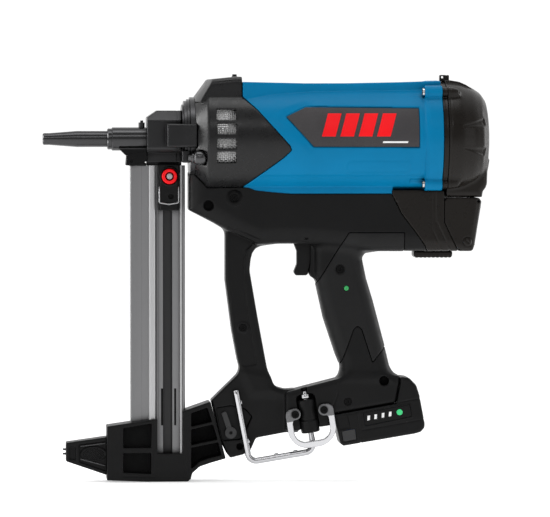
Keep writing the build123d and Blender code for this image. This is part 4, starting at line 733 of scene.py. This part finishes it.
g = Grid(382.5, 421, -28.4, 28.4, -109, -55, 0.6)
A = np.abs(g.Y)
door = [(384.1, -59.0, 2.0), (386.6, -56.1, 1.0), (417.4, -56.3, 2.8), (420.1, -59.9, 1.5), (419.3, -66.4, 6), (417.1, -78.9, 12), (413.5, -101.8, 5), (411, -107.8, 3.5), (397.6, -107.8), (384.1, -79.8)]
f = pillow(g.poly(door), A, -27.5, 27.5, 1.0, 1.0)
f = smax(f, pillow(g.poly([(350, -40), (350, -107.8), (413, -107.8, 3), (420.4, -60), (420.4, -40)]), A, -27.5, 27.5, 8, 6.5), 0.6)
f = cut(f, np.maximum(g.poly([(380, -40), (380, -79.8), (395.5, -112), (400, -105.2), (409, -105.2), (411.0, -101), (414.4, -78.9), (416.4, -63.4), (413.2, -63.4), (413.2, -40)]), A - 24.9))
for y in (-16.3, 7.7):
    f = cut(f, box3(g, 405, 425, y, y + 8.6, -63.3, -50))
f = cut(f, bore_y(g, 416.8, -59.7, 1.5, -30, 30))
rim = np.abs(np.hypot(g.X - 406.4, g.Z + 98.4) - 4.6) - 0.35
f = cut(f, np.maximum(rim, 26.3 - A), 0.3)
f = smin(f, smax(np.hypot(g.X - 406.4, g.Z + 98.4) - 3.3, A - 27.9, 0.5) + 100 * (g.Y > 0), 0.4)
f = cut(f, np.maximum(np.maximum(np.abs((g.X - 406.4) * 0.8 + (g.Z + 98.4) * 0.6) - 0.5, np.hypot(g.X - 406.4, g.Z + 98.4) - 2.4), 27.2 - A) + 100 * (g.Y > 0))
shape("rear_door", g, f, CAP, "fuel_door", ("fuel_door",))

g = Grid(354.5, 394.5, -12, 12, -115.5, -103.5, 0.5)
f = pillow(g.poly([(356, -108.0), (355.8, -112.5, 1.5), (358, -114.3, 1.2), (391.5, -114.3, 1.2), (393.3, -112.5, 1), (393.3, -108.0)]), g.Y, -11, 11, 1.2, 1.2)
for x in np.arange(361, 390, 4.0):
    f = f + (0.6 * np.exp(-((g.X - x) / 0.6) ** 2) * (g.Z < -112.6)).astype(F)
f = np.minimum(f, box3(g, 371, 390, -6, 6, -109, -104.8, 0.3))
shape("door_catch", g, f, CAP, "door_latch", ("door_latch",))

# ------------------------------------------------------------------ battery
BATTERY = [(278.0, -264.7, 1), (336.5, -254.6, 1), (338.9, -253.4, 1), (342.7, -233.7, 1), (342.7, -228.2, 1.5), (351.0, -229.4, 6), (358, -236.5, 9),
           (361.0, -246, 9), (366.2, -273.2, 3), (366.0, -277.5, 3), (362.4, -281.6, 3), (356.4, -283.3, 3), (287.6, -294.7, 2), (284.7, -292.4, 2)]
DX, DZ = math.cos(math.radians(9.8)), math.sin(math.radians(9.8))


def along(x, z, d, up=0.0):
    return (x + d * DX - up * DZ, z + d * DZ + up * DX)


g = Grid(277, 367.4, -19.8, 19.8, -296, -227, 0.5)
A = np.abs(g.Y)
body = pillow(g.poly(BATTERY), A, -19.0, 19.0, 3.0, 2.6)
f = cut(body, body + 2.2)
frame_line = np.abs(g.poly([(306.5, -262.7, 1), (351.6, -255.0, 1), (353.7, -266.5, 1), (308.4, -275.6, 1)]) - 0.55)
f = f - (0.32 * np.exp(-(frame_line / 0.5) ** 2) * (g.Y < -15)).astype(F)
for pts, w, dep in (([(300.4, -262.5), (303.4, -279.0), (304.6, -292.5)], 0.7, 0.45), ([(305.6, -279.4), (366, -269.0)], 0.6, 0.35), ([(340.5, -252.8), (366, -248.2)], 0.6, 0.3)):
    f = f + (dep * np.exp(-(g.line(pts) / w) ** 2)).astype(F)
tongue = np.maximum(g.poly([along(280, -265.5, 0), along(280, -265.5, 55), along(280, -264.85, 55, 3.6), along(280, -264.85, 0, 3.6)]), A - 8.0)
f = np.minimum(f, tongue)
f = cut(f, np.maximum(g.poly([(306.5, -262.7), (351.6, -255.0), (353.7, -266.5), (308.4, -275.6)]), g.Y + 16.7))
f = cut(f, np.maximum(g.poly([(285.6, -280.2), (299.0, -278.0), (300.4, -288.6), (287.4, -290.8)]), g.Y + 16.7), 0.3)
f = cut(f, np.maximum(g.poly([(280.6, -266.2), (291, -264.4), (294.5, -277.6), (284, -279.2)]), g.Y + 17.9), 0.3)
# finger ribs on the back
for k in range(5):
    x, z = 361.5 + 1.2 * k, -247 - 5.2 * k
    f = f + (0.55 * np.exp(-((g.X - x) ** 2 + (g.Z - z) ** 2) / 1.1) * (A < 13)).astype(F)
shape("battery_body", g, f, BLACK, "battery", ("battery_case",))

# ------------------------------------------------------------------ magazine foot and its front support
FOOT = [(60.6, -274.9, 1), (108.7, -267.9, 0.6), (133.3, -267.9), (133.3, -260.7, 1), (159.9, -251.4, 1), (174.7, -306.3, 1), (160, -310.5, 10), (149.5, -314, 8),
        (142.3, -320.5, 3), (141.3, -325.6, 2), (138.5, -328.3, 2), (98, -328.3, 8), (60.6, -326.8, 1)]
g = Grid(59.8, 175.6, -17, 17, -329.2, -250.5, 0.55)
A = np.abs(g.Y)
f = pillow(g.poly(FOOT), A, -16.0, 16.0, 1.0, 1.0)
f = cut(f, box3(g, 83.5, 136.1, -8.6, 8.6, -302.15, -240))
f = cut(f, np.maximum(np.maximum(g.poly([(108.9, -301.6, 0.8), (133.3, -301.6, 0.8), (133.3, -240), (108.9, -240)]), g.Y + 8.5), -40 - g.Y), 0.3)
for pts in ([(76.3, -276.6), (103.6, -272.2), (103.0, -295.7), (76.3, -295.7)], [(76.3, -300.6), (103.0, -300.6), (103.0, -320.8), (76.3, -319.4)],
            [(141.4, -262.6), (156.9, -257.2), (161.6, -271.0), (141.4, -275.8)], [(141.4, -278.2), (162.3, -273.4), (166.8, -288.2), (141.4, -293.4)],
            [(141.4, -295.8), (167.4, -290.6), (170.6, -303.2), (158, -306.2), (149, -309.6), (141.4, -316.6)]):
    d = g.poly([(*p, 0.9) for p in pts])
    f = cut(f, np.maximum(d + 0.06 * (16 - A), (9.4 if pts[0][0] < 100 else 2.2) - A), 0.4)
# light guide rib between pockets and a raised border round the plain face
f = f + (0.35 * np.exp(-(g.line([(136.9, -268), (136.9, -327)]) / 0.5) ** 2)).astype(F)
f = f + (0.35 * np.exp(-(g.line([(76.3, -322.8), (106, -323.6)]) / 0.5) ** 2)).astype(F)
foot = shape("foot_block", g, f, BLACK, "magazine", ("magazine_foot",))
foot.data.materials.append(PAINTED_SHADE_BLACK)


# painted shade: the floors of the side pockets take the near-black recess material
shade_faces(foot, lambda x, y, z, n: (np.abs(y) < 13.2) & (((x > 76.0) & (x < 103.9) & (z < -271.5) & (z > -321.2)) | ((x > 141.0) & (x < 171.0) & (z < -257) & (z > -317))) & (np.abs(n[:, 1]) > 0.5), 1)

g = Grid(20.8, 61.3, -12, 12, -322.8, -284.6, 0.42)
A = np.abs(g.Y)
f = pillow(g.poly([(21.6, -290.8, 1.2), (60.55, -285.4), (60.55, -322.0), (21.6, -308.6, 1.2)]), A, -11, 11, 0.8, 0.8)
f = cut(f, np.maximum(g.poly([(24.6, -294.6, 0.5), (30.8, -294.6, 0.5), (30.8, -307.2, 0.5), (24.6, -307.2, 0.5)]), 8.8 - A), 0.3)
f = cut(f, np.maximum(g.poly([(34.0, -292.6, 0.8), (60.0, -289.2, 0.8), (60.0, -318.4, 0.8), (34.0, -309.4, 0.8)]), 8.8 - A), 0.3)
ell = np.hypot((g.X - 48.0) / 11.4, (g.Z + 301.6) / 6.4)
pad = np.maximum((ell - 1) * 6.0, A - 10.0)
dots = 0.32 * (np.cos((g.X - g.Z) * 2 * np.pi / 2.3) + np.cos((g.X + g.Z) * 2 * np.pi / 2.3)) * (ell < 0.92) * (A > 9)
f = np.minimum(f, pad - dots.astype(F))
ring_e = np.maximum(np.abs(ell - 1) * 6.0 - 0.5, A - 10.5)
f = smin(f, ring_e + 0 * g.Y, 0.3)
for z in (-297.7, -302.0):
    f = cut(f, bore_x(g, 0, z, 1.1, 15, 31))
shape("support_body", g, f, BLACK, "magazine", ("support_foot",))

# ------------------------------------------------------------------ hook sleeve, hook nubs, ring
g = Grid(241, 268.5, -24.5, -4.0, -286, -243, 0.4)
P = [g.X - SLEEVE_TOP[0], g.Y - SLEEVE_TOP[1], g.Z - SLEEVE_TOP[2]]
t = P[0] * SLEEVE_DIR[0] + P[2] * SLEEVE_DIR[2]
q = np.sqrt(np.maximum(P[0] ** 2 + P[1] ** 2 + P[2] ** 2 - t * t, 0))
rad = np.interp(t[:, 0, :], [8.6, 9.4, 27.6, 29.6, 39.6, 40.6], [7.4, 7.9, 8.0, 8.9, 8.95, 8.4]).astype(F)[:, None, :]
f = smax(q - rad, np.abs(t - 24.6) - 16.0, 0.9)
f = f + (0.3 * np.exp(-((t - 28.0) / 0.4) ** 2)).astype(F)
f = cut(f, q - 2.68)
shape("hook_bush", g, f, BLACK, "root", ("hook_sleeve",))


def tube(path, radius, sides=14, closed_ends=True, crown=0.35):
    """Tube of one radius, or one radius for each point, along millimetre points."""
    path = [np.array(p, float) for p in path]
    n = len(path)
    rad = [radius] * n if np.isscalar(radius) else list(radius)
    verts, faces = [], []
    t0 = path[1] - path[0]
    t0 /= np.linalg.norm(t0)
    ref = np.array([0, 1.0, 0]) if abs(t0[1]) < 0.9 else np.array([1.0, 0, 0])
    u = np.cross(t0, ref)
    u /= np.linalg.norm(u)
    for i in range(n):
        a, b = path[max(i - 1, 0)], path[min(i + 1, n - 1)]
        t = (b - a) / np.linalg.norm(b - a)
        u = u - t * (u @ t)
        u /= np.linalg.norm(u)
        v = np.cross(t, u)
        for k in range(sides):
            q = 2 * math.pi * k / sides
            verts.append(path[i] + rad[i] * (math.cos(q) * u + math.sin(q) * v))
    for i in range(n - 1):
        for k in range(sides):
            a, b = i * sides + k, i * sides + (k + 1) % sides
            faces.append((a, b, b + sides, a + sides))
    if closed_ends:
        for base, p, s, r in ((0, path[0], -1, rad[0]), ((n - 1) * sides, path[-1], 1, rad[-1])):
            d = (path[1] - path[0]) if s < 0 else (path[-1] - path[-2])
            d = d / np.linalg.norm(d) * s
            c = len(verts)
            verts.append(p + d * crown * r)
            for k in range(sides):
                a, b = base + k, base + (k + 1) % sides
                faces.append((b, a, c) if s < 0 else (a, b, c))
    return verts, faces


def joined(parts):
    verts, faces = [], []
    for v, f in parts:
        base = len(verts)
        verts += list(v)
        faces += [tuple(i + base for i in q) for q in f]
    return verts, faces


def bent(points, radius, step=0.8):
    """Points of a polyline with arcs of one radius at its corners."""
    pts = [np.array(p, float) for p in points]
    out = [pts[0]]
    for i in range(1, len(pts) - 1):
        a, b, c = pts[i - 1], pts[i], pts[i + 1]
        u, v = (a - b) / np.linalg.norm(a - b), (c - b) / np.linalg.norm(c - b)
        half = math.acos(max(-1, min(1, float(u @ v)))) / 2
        t = radius / math.tan(half)
        w = (u + v) / np.linalg.norm(u + v)
        centre = b + w * radius / math.sin(half)
        s, e = b + u * t - centre, b + v * t - centre
        turn = math.pi - 2 * half
        k = max(4, int(turn * radius / step))
        for j in range(k + 1):
            m = (math.sin(turn * (1 - j / k)) * s + math.sin(turn * j / k) * e) / math.sin(turn)
            out.append(centre + m)
    out.append(pts[-1])
    dense = [out[0]]
    for p, q in zip(out[:-1], out[1:]):
        k = max(1, int(np.linalg.norm(q - p) / 4))
        dense += [p + (q - p) * j / k for j in range(1, k + 1)]
    return dense


top = SLEEVE_TOP + SLEEVE_DIR * 1.0
route = bent([tuple(top), (259.4, -14.0, -299.6), (197.5, -14.0, -309.9), (184.4, -14.0, -240.8)], 8.0, 0.6)
for end, near in ((0, 1), (-1, -2)):
    step = (route[near] - route[end]) / np.linalg.norm(route[near] - route[end])
    route.insert(1 if end == 0 else len(route) - 1, route[end] + step * 0.45)
rad = [2.6 if p[2] > -285.0 and p[0] > 240 else 2.95 for p in route]
rad[-1] = 2.5
rad[0] = 2.2
wire = tube(route, rad, 28, crown=0.2)
collar = tube([SLEEVE_TOP + SLEEVE_DIR * d for d in (3.4, 3.8, 7.6, 8.0)], [3.9, 4.35, 4.35, 3.9], 32, crown=0.0)
nubs = []
for a, b, fracs, inward in (((197.5, -14, -309.9), (184.4, -14, -240.8), (0.30, 0.84), (0.98, 0, -0.18)), ((259.4, -14, -299.6), (197.5, -14, -309.9), (0.28, 0.58), (-0.16, 0, 0.98))):
    a, b, w = np.array(a, float), np.array(b, float), np.array(inward, float)
    for fr in fracs:
        c = a + (b - a) * fr + w * 2.7
        d = (b - a) / np.linalg.norm(b - a)
        nubs.append(tube([c - d * 2.2, c - d * 1.7, c, c + d * 1.7, c + d * 2.2], [0.5, 1.2, 1.5, 1.2, 0.5], 14, crown=0.3))
v, fc = joined([wire, collar] + nubs)
make("belt_hook", v, fc, CHROME, "hook", ("wire_hook",))

g = Grid(227, 283, -22.7, -18.8, -298, -247, 0.36)
rx = (g.X - 254.7) * U[0] + (g.Z + 261.7) * U[1]
rz = -(g.X - 254.7) * U[1] + (g.Z + 261.7) * U[0]
X2, Z2 = rx[:, 0, :], rz[:, 0, :]
outer = sd_poly(rounded([(-23.3, 5.4, 6.0), (-23.3, -34.0, 20), (23.3, -34.0, 20), (23.3, 5.4, 6.0), (10, 5.4, 3), (10, -5.4, 3), (-10, -5.4, 3), (-10, 5.4, 3)]), X2, Z2)[:, None, :]
hole = sd_poly(rounded([(-17.4, -5.6, 4), (-17.4, -27.6, 14.5), (17.4, -27.6, 14.5), (17.4, -5.6, 4), (9.0, -3.5, 3), (8.2, 12), (-8.2, 12), (-9.0, -3.5, 3)]), X2, Z2)[:, None, :]
flat = cut(outer, hole, 0.5)
for u in (-14.0, 14.0):
    flat = smin(flat, np.hypot(rx - u, rz) - 5.5, 0.8)
    flat = cut(flat, np.hypot(rx - u, rz) - 2.2)
f = smax(flat, np.abs(g.Y + 20.7) - 1.3, 0.9)
lanyard = shape("lanyard_ring", g, f, CHROME, "root", ("d_ring",))
# painted reflection: the eyelet plates above the bend take a darker grey metal, standing in for the darker surroundings
# they reflect
lanyard.data.materials.append(RING_PAINTED_REFLECTION)
shade_faces(lanyard, lambda x, y, z, n: -(x - 254.7) * U[1] + (z + 261.7) * U[0] > -6.5, 1)

# ------------------------------------------------------------------ coil springs


def coil(x0, x1, z, radius, wire, turns, per_turn=28):
    """Closed-end coil along X."""
    n = int(turns * per_turn)
    pts = []
    for i in range(n + 1):
        q = i / per_turn
        lead = min(q, 1.0) * 0.5 + max(0.0, min(q - 1.0, turns - 2.0)) / (turns - 2.0) * (x1 - x0 - 2 * wire - 1.0 * wire) / wire + max(0.0, q - (turns - 1.0)) * 0.5
        a = 2 * math.pi * q
        pts.append((x0 + wire + lead * wire, radius * math.cos(a), z + radius * math.sin(a)))
    return tube(pts, wire, 10, crown=0.2)


v, fc = coil(159.8, 179.7, 0.0, 10.75, 0.8, 6.0)
nose_coil = make("nose_coil", v, fc, STEEL, "root", ("nose_spring",))
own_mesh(nose_coil)
v, fc = coil(261.0, 266.4, -104.5, 1.55, 0.24, 7.0, 20)
trigger_coil = make("trigger_coil", v, fc, STEEL, "root", ("trigger_spring",))
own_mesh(trigger_coil)

# ------------------------------------------------------------------ woven wire behind the vents
wires = []
for s in (-1, 1):
    for i, x in enumerate(np.arange(163.4, 184.6, 1.9)):
        pts = []
        for j, z in enumerate(np.arange(-23.4, 29.4, 0.95)):
            r = 49.25 + (0.24 if (i + j // 2) % 2 else -0.24)
            pts.append((x, s * math.sqrt(r * r - z * z), z))
        wires.append(tube(pts, 0.42, 6, crown=0.1))
    for j, z in enumerate(np.arange(-23.4, 29.4, 1.9)):
        pts = []
        for i, x in enumerate(np.arange(162.7, 185.2, 0.95)):
            r = 49.25 + (-0.24 if (i // 2 + j) % 2 else 0.24)
            pts.append((x, s * math.sqrt(r * r - z * z), z))
        wires.append(tube(pts, 0.42, 6, crown=0.1))
v, fc = joined(wires)
make("woven_screen", v, fc, MESH, "root", ("vent_mesh",))

# ------------------------------------------------------------------ nose block, side knobs
g = Grid(98.6, 147.4, -42.6, 42.6, -26.2, 28.2, 0.55)
A = np.abs(g.Y)
f = pillow(g.poly([(99.3, -12.7), (99.3, 20.8), (108.9, 27.3), (132.8, 27.3), (132.8, -12.7)]), A, -19.0, 19.0, 1.4, 1.4)
f = smax(f, (A + g.Z - 36.9) / 1.414, 0.9)
f = smax(f, (A - g.Z - 28.1) / 1.414, 0.9)
f = np.minimum(f, box3(g, 99.3, 132.8, -8.0, 8.0, -22.6, -10, 0.5))
f = np.minimum(f, box3(g, 99.3, 132.8, -5.4, 5.4, -25.3, -20, 0.4))
for s in (-1, 1):
    f = np.minimum(f, box3(g, 132.0, 140.2, min(s * 14, s * 37), max(s * 14, s * 37), -22.4, -10.5, 1.2))
    f = cut(f, box3(g, 98, 133, min(s * 5.2, s * 8.3), max(s * 5.2, s * 8.3), -3.4, 3.4))
f = cut(f, box3(g, 98, 134, -3.5, 3.5, -27, 0))
f = cut(f, bore_x(g, 0, 0, 3.5, 98, 140))
side_box = g.poly([(117.7, -7.7, 1.2), (117.7, 14.3, 1.2), (146.4, 14.3), (146.4, -7.7)])
f = smin(f, pillow(side_box, A, 18.0, 42.0, 1.5, 1.5), 0.3)
# a fine parting step round the block
f = f + (0.3 * np.exp(-((g.X - 128.6) / 0.45) ** 2) * (A < 30)).astype(F)
shape("nose_casting", g, f, NOSE, "root", ("nose_block",))

parts = []
for y in (-43.0, 43.0):
    q = [(137.5, 2.9), (137.8, 3.2), (140.6, 3.2), (140.9, 4.6), (143.0, 4.6), (143.1, 4.4), (143.3, 5.4), (144.2, 6.3), (145.8, 6.85), (148.6, 7.0), (151.4, 6.7), (153.2, 5.8), (154.0, 4.4)]
    parts.append(tube([(x, y, -17.6) for x, r in q], [r for x, r in q], 40, crown=0.08))
v, fc = joined(parts)
make("side_knobs", v, fc, DARK_STEEL, "root", ("side_cap_nuts",))

# ------------------------------------------------------------------ magazine rail, head and pusher


def arc(x, y, rx, ry, a0, a1, n=8):
    return [(x + rx * math.cos(math.radians(a0 + (a1 - a0) * i / n)), y + ry * math.sin(math.radians(a0 + (a1 - a0) * i / n))) for i in range(n + 1)]


profile = ([(83.6, -5.8)] + arc(84.7, -5.9, 1.1, 1.1, 180, 270, 5) + [(94.3, -7.0), (94.6, -6.75), (100.6, -6.75), (101.3, -6.9)] + arc(104.4, -7.1, 3.1, 1.4, 185, 355, 16) + [(107.6, -6.4), (108.9, -6.4)]
           + [(109.0, -7.8), (109.6, -7.8), (109.6, -5.6), (114.8, -5.6), (115.0, -5.3), (115.0, -3.6), (94.0, -3.6), (94.0, 3.6), (134.0, 3.6), (134.0, -3.6), (123.6, -3.6), (123.6, -5.3), (123.8, -5.6),
              (131.0, -5.6), (131.0, -7.9)] + arc(131.6, -7.9, 0.6, 0.6, 180, 270, 3) + [(132.9, -8.5), (133.05, -8.0), (133.35, -8.0), (133.5, -8.4)] + arc(134.2, -6.6, 1.8, 1.8, 275, 360, 8)
           + [(136.0, 7.2), (135.4, 8.1), (134.6, 8.5), (109.6, 8.5), (109.0, 7.0), (108.0, 6.4), (107.6, 7.3), (104.4, 8.5), (101.3, 7.3), (100.6, 6.75), (94.6, 6.75), (94.3, 7.0), (84.9, 7.0), (83.6, 5.8)])
z0, z1 = -302.0, -25.35
n = len(profile)
levels = [z0, z0 + 0.4] + [z0 + (z1 - z0) * k / 24 for k in range(1, 24)] + [z1 - 0.4, z1]
verts = [(x, y, z) for z in levels for x, y in profile]
fc = []
for k in range(len(levels) - 1):
    for i in range(n):
        a, b = k * n + i, k * n + (i + 1) % n
        fc.append((a, b, b + n, a + n))
fc.append(tuple(range(n))[::-1])
fc.append(tuple(range((len(levels) - 1) * n, len(levels) * n)))
rail = make("rail_extrusion", verts, fc, ALU, "magazine", ("magazine_rail",), smooth=False)
rail.data.materials.append(ALU_PAINTED_HIGHLIGHT)
rail.data.materials.append(ALU_PAINTED_SHADE)
# painted highlight on the -Y faces of the two ridges, painted shade on the walls of the centre channel
highlight_bands = [(101.0, 107.7), (131.0, 132.6)]
for poly in rail.data.polygons:
    x, y = poly.center.x / MM, poly.center.y / MM
    if y < -5.65 and any(a <= x <= b for a, b in highlight_bands):
        poly.material_index = 1
    elif -5.55 < y < 3.7 and 93.9 < x < 134.1 and abs(poly.normal.z) < 0.5:
        poly.material_index = 2
# painted shade: thin dark sheets on the channel floor stand in for the shaded loading slots
slot_shade_sheets = []
for x in (112.9, 125.6):
    a, b = x, x + 1.9
    q = [(a, -5.5, -274.9), (b, -5.5, -274.9), (b, -5.5, -239.3), (a, -5.5, -239.3), (a, -5.64, -274.9), (b, -5.64, -274.9), (b, -5.64, -239.3), (a, -5.64, -239.3)]
    slot_shade_sheets.append((q, [(0, 1, 2, 3), (4, 7, 6, 5), (0, 4, 5, 1), (1, 5, 6, 2), (2, 6, 7, 3), (3, 7, 4, 0)]))
v, fc = joined(slot_shade_sheets)
make("rail_slot_shade", v, fc, SCREW, "magazine", smooth=False)

g = Grid(81.0, 99.9, -8.8, 8.8, -26.5, -17.4, 0.4)
f = pillow(g.poly([(81.8, -18.2, 1.5), (81.8, -25.7, 1.2), (99.0, -25.7), (99.0, -23.2, 0.6), (97.5, -22.4, 1), (97.5, -18.6, 1.5)]), g.Y, -8.0, 8.0, 0.8, 0.8)
f = f + (0.4 * np.exp(-((g.X - 89.5) / 0.5) ** 2)).astype(F)
f = cut(f, bore_y(g, 84.6, -21.2, 1.55, -12, 12))
shape("magazine_head", g, f, BLACK, "magazine", ("rail_head",))

g = Grid(93.8, 134.2, -13.8, 3.9, -69.0, -23.2, 0.42)
f = pillow(g.poly([(110.2, -68.3, 1), (110.2, -24.2, 1.5), (130.4, -24.2, 1.5), (130.4, -68.3, 1)]), g.Y, -12.6, -5.8, 1.0, 1.2)
f = smin(f, pillow(g.poly([(112.0, -68.0, 1), (112.0, -44.0, 1), (112.6, -31, 6), (117, -26, 6), (125, -26, 6), (129.2, -31, 6), (129.0, -44, 1), (129.0, -68.0, 1)]), g.Y, -13.35, -8.0, 0.8, 0.7), 0.3)
f = np.minimum(f, box3(g, 115.3, 123.3, -6.2, -3.0, -68.3, -26.2, 0.2))
f = np.minimum(f, box3(g, 94.4, 133.6, -3.3, 3.3, -66.0, -26.2, 0.4))
f = cut(f, bore_y(g, 120.9, -35.7, 7.6, -16, -7.6), 0.3)
f = smin(f, np.maximum(np.abs(np.hypot(g.X - 120.9, g.Z + 35.7) - 8.6) - 0.45, np.abs(g.Y + 12.6) - 1.1), 0.3)
f = cut(f, bore_y(g, 122.4, -54.8, 2.4, -16, -9.8), 0.4)
f = cut(f, box3(g, 113.0, 128.0, -12.2, -6.6, -67.0, -59.8))
shape("pusher_body", g, f, BLACK, "pusher", ("pusher",))

parts = []
q = [(-7.7, 2.6), (-12.4, 2.6), (-12.5, 3.1), (-13.9, 3.1), (-14.3, 2.7), (-14.35, 1.7), (-13.2, 1.6), (-13.1, 0.4)]
parts.append(tube([(120.9, y, -35.7) for y, r in q], [r for y, r in q], 36, crown=0.0))
v, fc = joined(parts)
make("pusher_bolt", v, fc, STEEL, "pusher", ("pusher_screw",), smooth=False)
route = bent([(111.2, -13.9, -45.5), (111.2, -13.9, -61.0), (120.5, -14.6, -62.4), (129.6, -13.9, -61.0), (129.6, -13.9, -45.5)], 1.8, 0.5)
v, fc = tube(route, 0.62, 14, crown=0.5)
make("clip_wire", v, fc, STEEL, "pusher", ("pusher_clip",))

# ------------------------------------------------------------------ generic bars on the side plates


def on_barrel(points, r0, r1, side, n=6):
    """Raised parallelogram from four (x, z) corners that follows the barrel."""
    verts, faces = [], []
    a, b, c, d = [np.array(p, float) for p in points]
    for r in (r0, r1):
        for i in range(n + 1):
            for j in range(2):
                p = (a + (b - a) * i / n) if j == 0 else (d + (c - d) * i / n)
                verts.append((p[0], side * math.sqrt(r * r - p[1] ** 2), p[1]))
    k = 2 * (n + 1)
    for i in range(n):
        p, q = 2 * i, 2 * i + 2
        faces += [(p, p + 1, q + 1, q), (k + p, k + q, k + q + 1, k + p + 1), (p, q, k + q, k + p), (p + 1, k + p + 1, k + q + 1, q + 1)]
    faces += [(0, k, k + 1, 1), (2 * n, 2 * n + 1, k + 2 * n + 1, k + 2 * n)]
    if side > 0:
        faces = [f[::-1] for f in faces]
    return verts, faces


bars, dashes = [], []
for s in (-1, 1):
    for k, (x, w) in enumerate(((264, 13), (281.5, 13), (299, 13), (316.5, 13))):
        bars.append(on_barrel([(x, 2.6), (x + 6.2, 24.6), (x + 6.2 + w, 24.6), (x + w, 2.6)], 52.2, 52.72, s, 10))
    dashes.append(on_barrel([(322, -3.6), (322.6, -1.9), (346.6, -1.9), (346, -3.6)], 52.2, 52.68, s, 3))
v, fc = joined(bars)
make("plate_bars", v, fc, RED, "root", smooth=False)
# painted glow: the white dashes use the emitting white_light material, so the print glows faintly
v, fc = joined(dashes)
make("plate_line", v, fc, WHITE, "root", smooth=False)

# ------------------------------------------------------------------ stage, lights, camera


def area(name, loc, target, sx, sy, power, color=(1, 1, 1)):
    li = bpy.data.lights.new(name, "AREA")
    li.shape = "RECTANGLE"
    li.size, li.size_y = sx, sy
    li.energy = power
    li.color = color
    ob = bpy.data.objects.new(name, li)
    ob.location = loc
    ob.rotation_euler = (Vector(target) - Vector(loc)).to_track_quat("-Z", "Y").to_euler()
    bpy.context.scene.collection.objects.link(ob)
    return ob


centre = Vector((0.223, 0.0, -0.115))
floor_z = -0.3286
me = bpy.data.meshes.new("studio_floor")
me.from_pydata([(-14, -14, floor_z), (14, -14, floor_z), (14, 14, floor_z), (-14, 14, floor_z)], [], [(0, 1, 2, 3)])
sweep = bpy.data.objects.new("studio_floor", me)
bpy.context.scene.collection.objects.link(sweep)
me.materials.append(finish_material("pale_floor", (0.84, 0.84, 0.84), 0.85, grain=200, grain_bump=0.02, spread=0.01, spec=0.0, emit=(1, 1, 1, 0.42)))
# the floor shows from above only, so the underside of the tool can be looked at
nt = me.materials[0].node_tree
top = nt.nodes.new("ShaderNodeMixShader")
nt.links.new(nt.nodes.new("ShaderNodeNewGeometry").outputs["Backfacing"], top.inputs[0])
nt.links.new([n for n in nt.nodes if n.type == "BSDF_PRINCIPLED"][0].outputs[0], top.inputs[1])
nt.links.new(nt.nodes.new("ShaderNodeBsdfTransparent").outputs[0], top.inputs[2])
nt.links.new(top.outputs[0], [n for n in nt.nodes if n.type == "OUTPUT_MATERIAL"][0].inputs[0])

world = bpy.data.worlds.new("studio")
world.use_nodes = True
wt = world.node_tree
sep = wt.nodes.new("ShaderNodeSeparateXYZ")
wt.links.new(wt.nodes.new("ShaderNodeTexCoord").outputs["Generated"], sep.inputs[0])
span = wt.nodes.new("ShaderNodeMapRange")
span.interpolation_type = "SMOOTHSTEP"
span.inputs["From Min"].default_value = -0.65
span.inputs["From Max"].default_value = 0.3
span.inputs["To Min"].default_value = 0.34
span.inputs["To Max"].default_value = 1.06
wt.links.new(sep.outputs["Y"], span.inputs["Value"])
wt.nodes["Background"].inputs["Color"].default_value = (1, 1, 1, 1)
wt.links.new(span.outputs["Result"], wt.nodes["Background"].inputs["Strength"])
bpy.context.scene.world = world
area("top_box", (0.2, -0.2, 1.05), (0.22, 0.0, -0.05), 1.0, 0.4, 3.6)
area("front_left", (-0.95, -0.75, 0.25), (0.2, 0, -0.1), 0.25, 1.0, 2.0)
area("front_right", (1.35, -0.9, 0.15), (0.25, 0, -0.1), 0.25, 0.9, 1.0)
area("key", (0.1, -1.5, 0.95), (0.22, 0, -0.1), 0.9, 0.3, 2.2)
area("front_strip", (0.1, -1.9, -0.62), (0.2, 0, -0.1), 1.6, 0.1, 1.0)
area("left_rim", (-0.85, 0.2, 0.05), (0.2, 0, -0.1), 0.3, 1.0, 9)
area("right_rim", (1.2, 0.3, 0.0), (0.3, 0, -0.1), 0.3, 0.9, 3)

scene = bpy.context.scene
scene.view_settings.view_transform = "Standard"
AZ, EL, DIST = math.radians(-4.0), math.radians(2.0), 4.2
cam = bpy.data.cameras.new("camera")
cam.sensor_width = 36.0
cam.lens = 36.0 * DIST / 0.529
cam.clip_end = 30
co = bpy.data.objects.new("camera", cam)
co.location = centre + Vector((math.sin(AZ) * math.cos(EL), -math.cos(AZ) * math.cos(EL), math.sin(EL))) * DIST
co.rotation_euler = (centre - co.location).to_track_quat("-Z", "Y").to_euler()
scene.collection.objects.link(co)
scene.camera = co
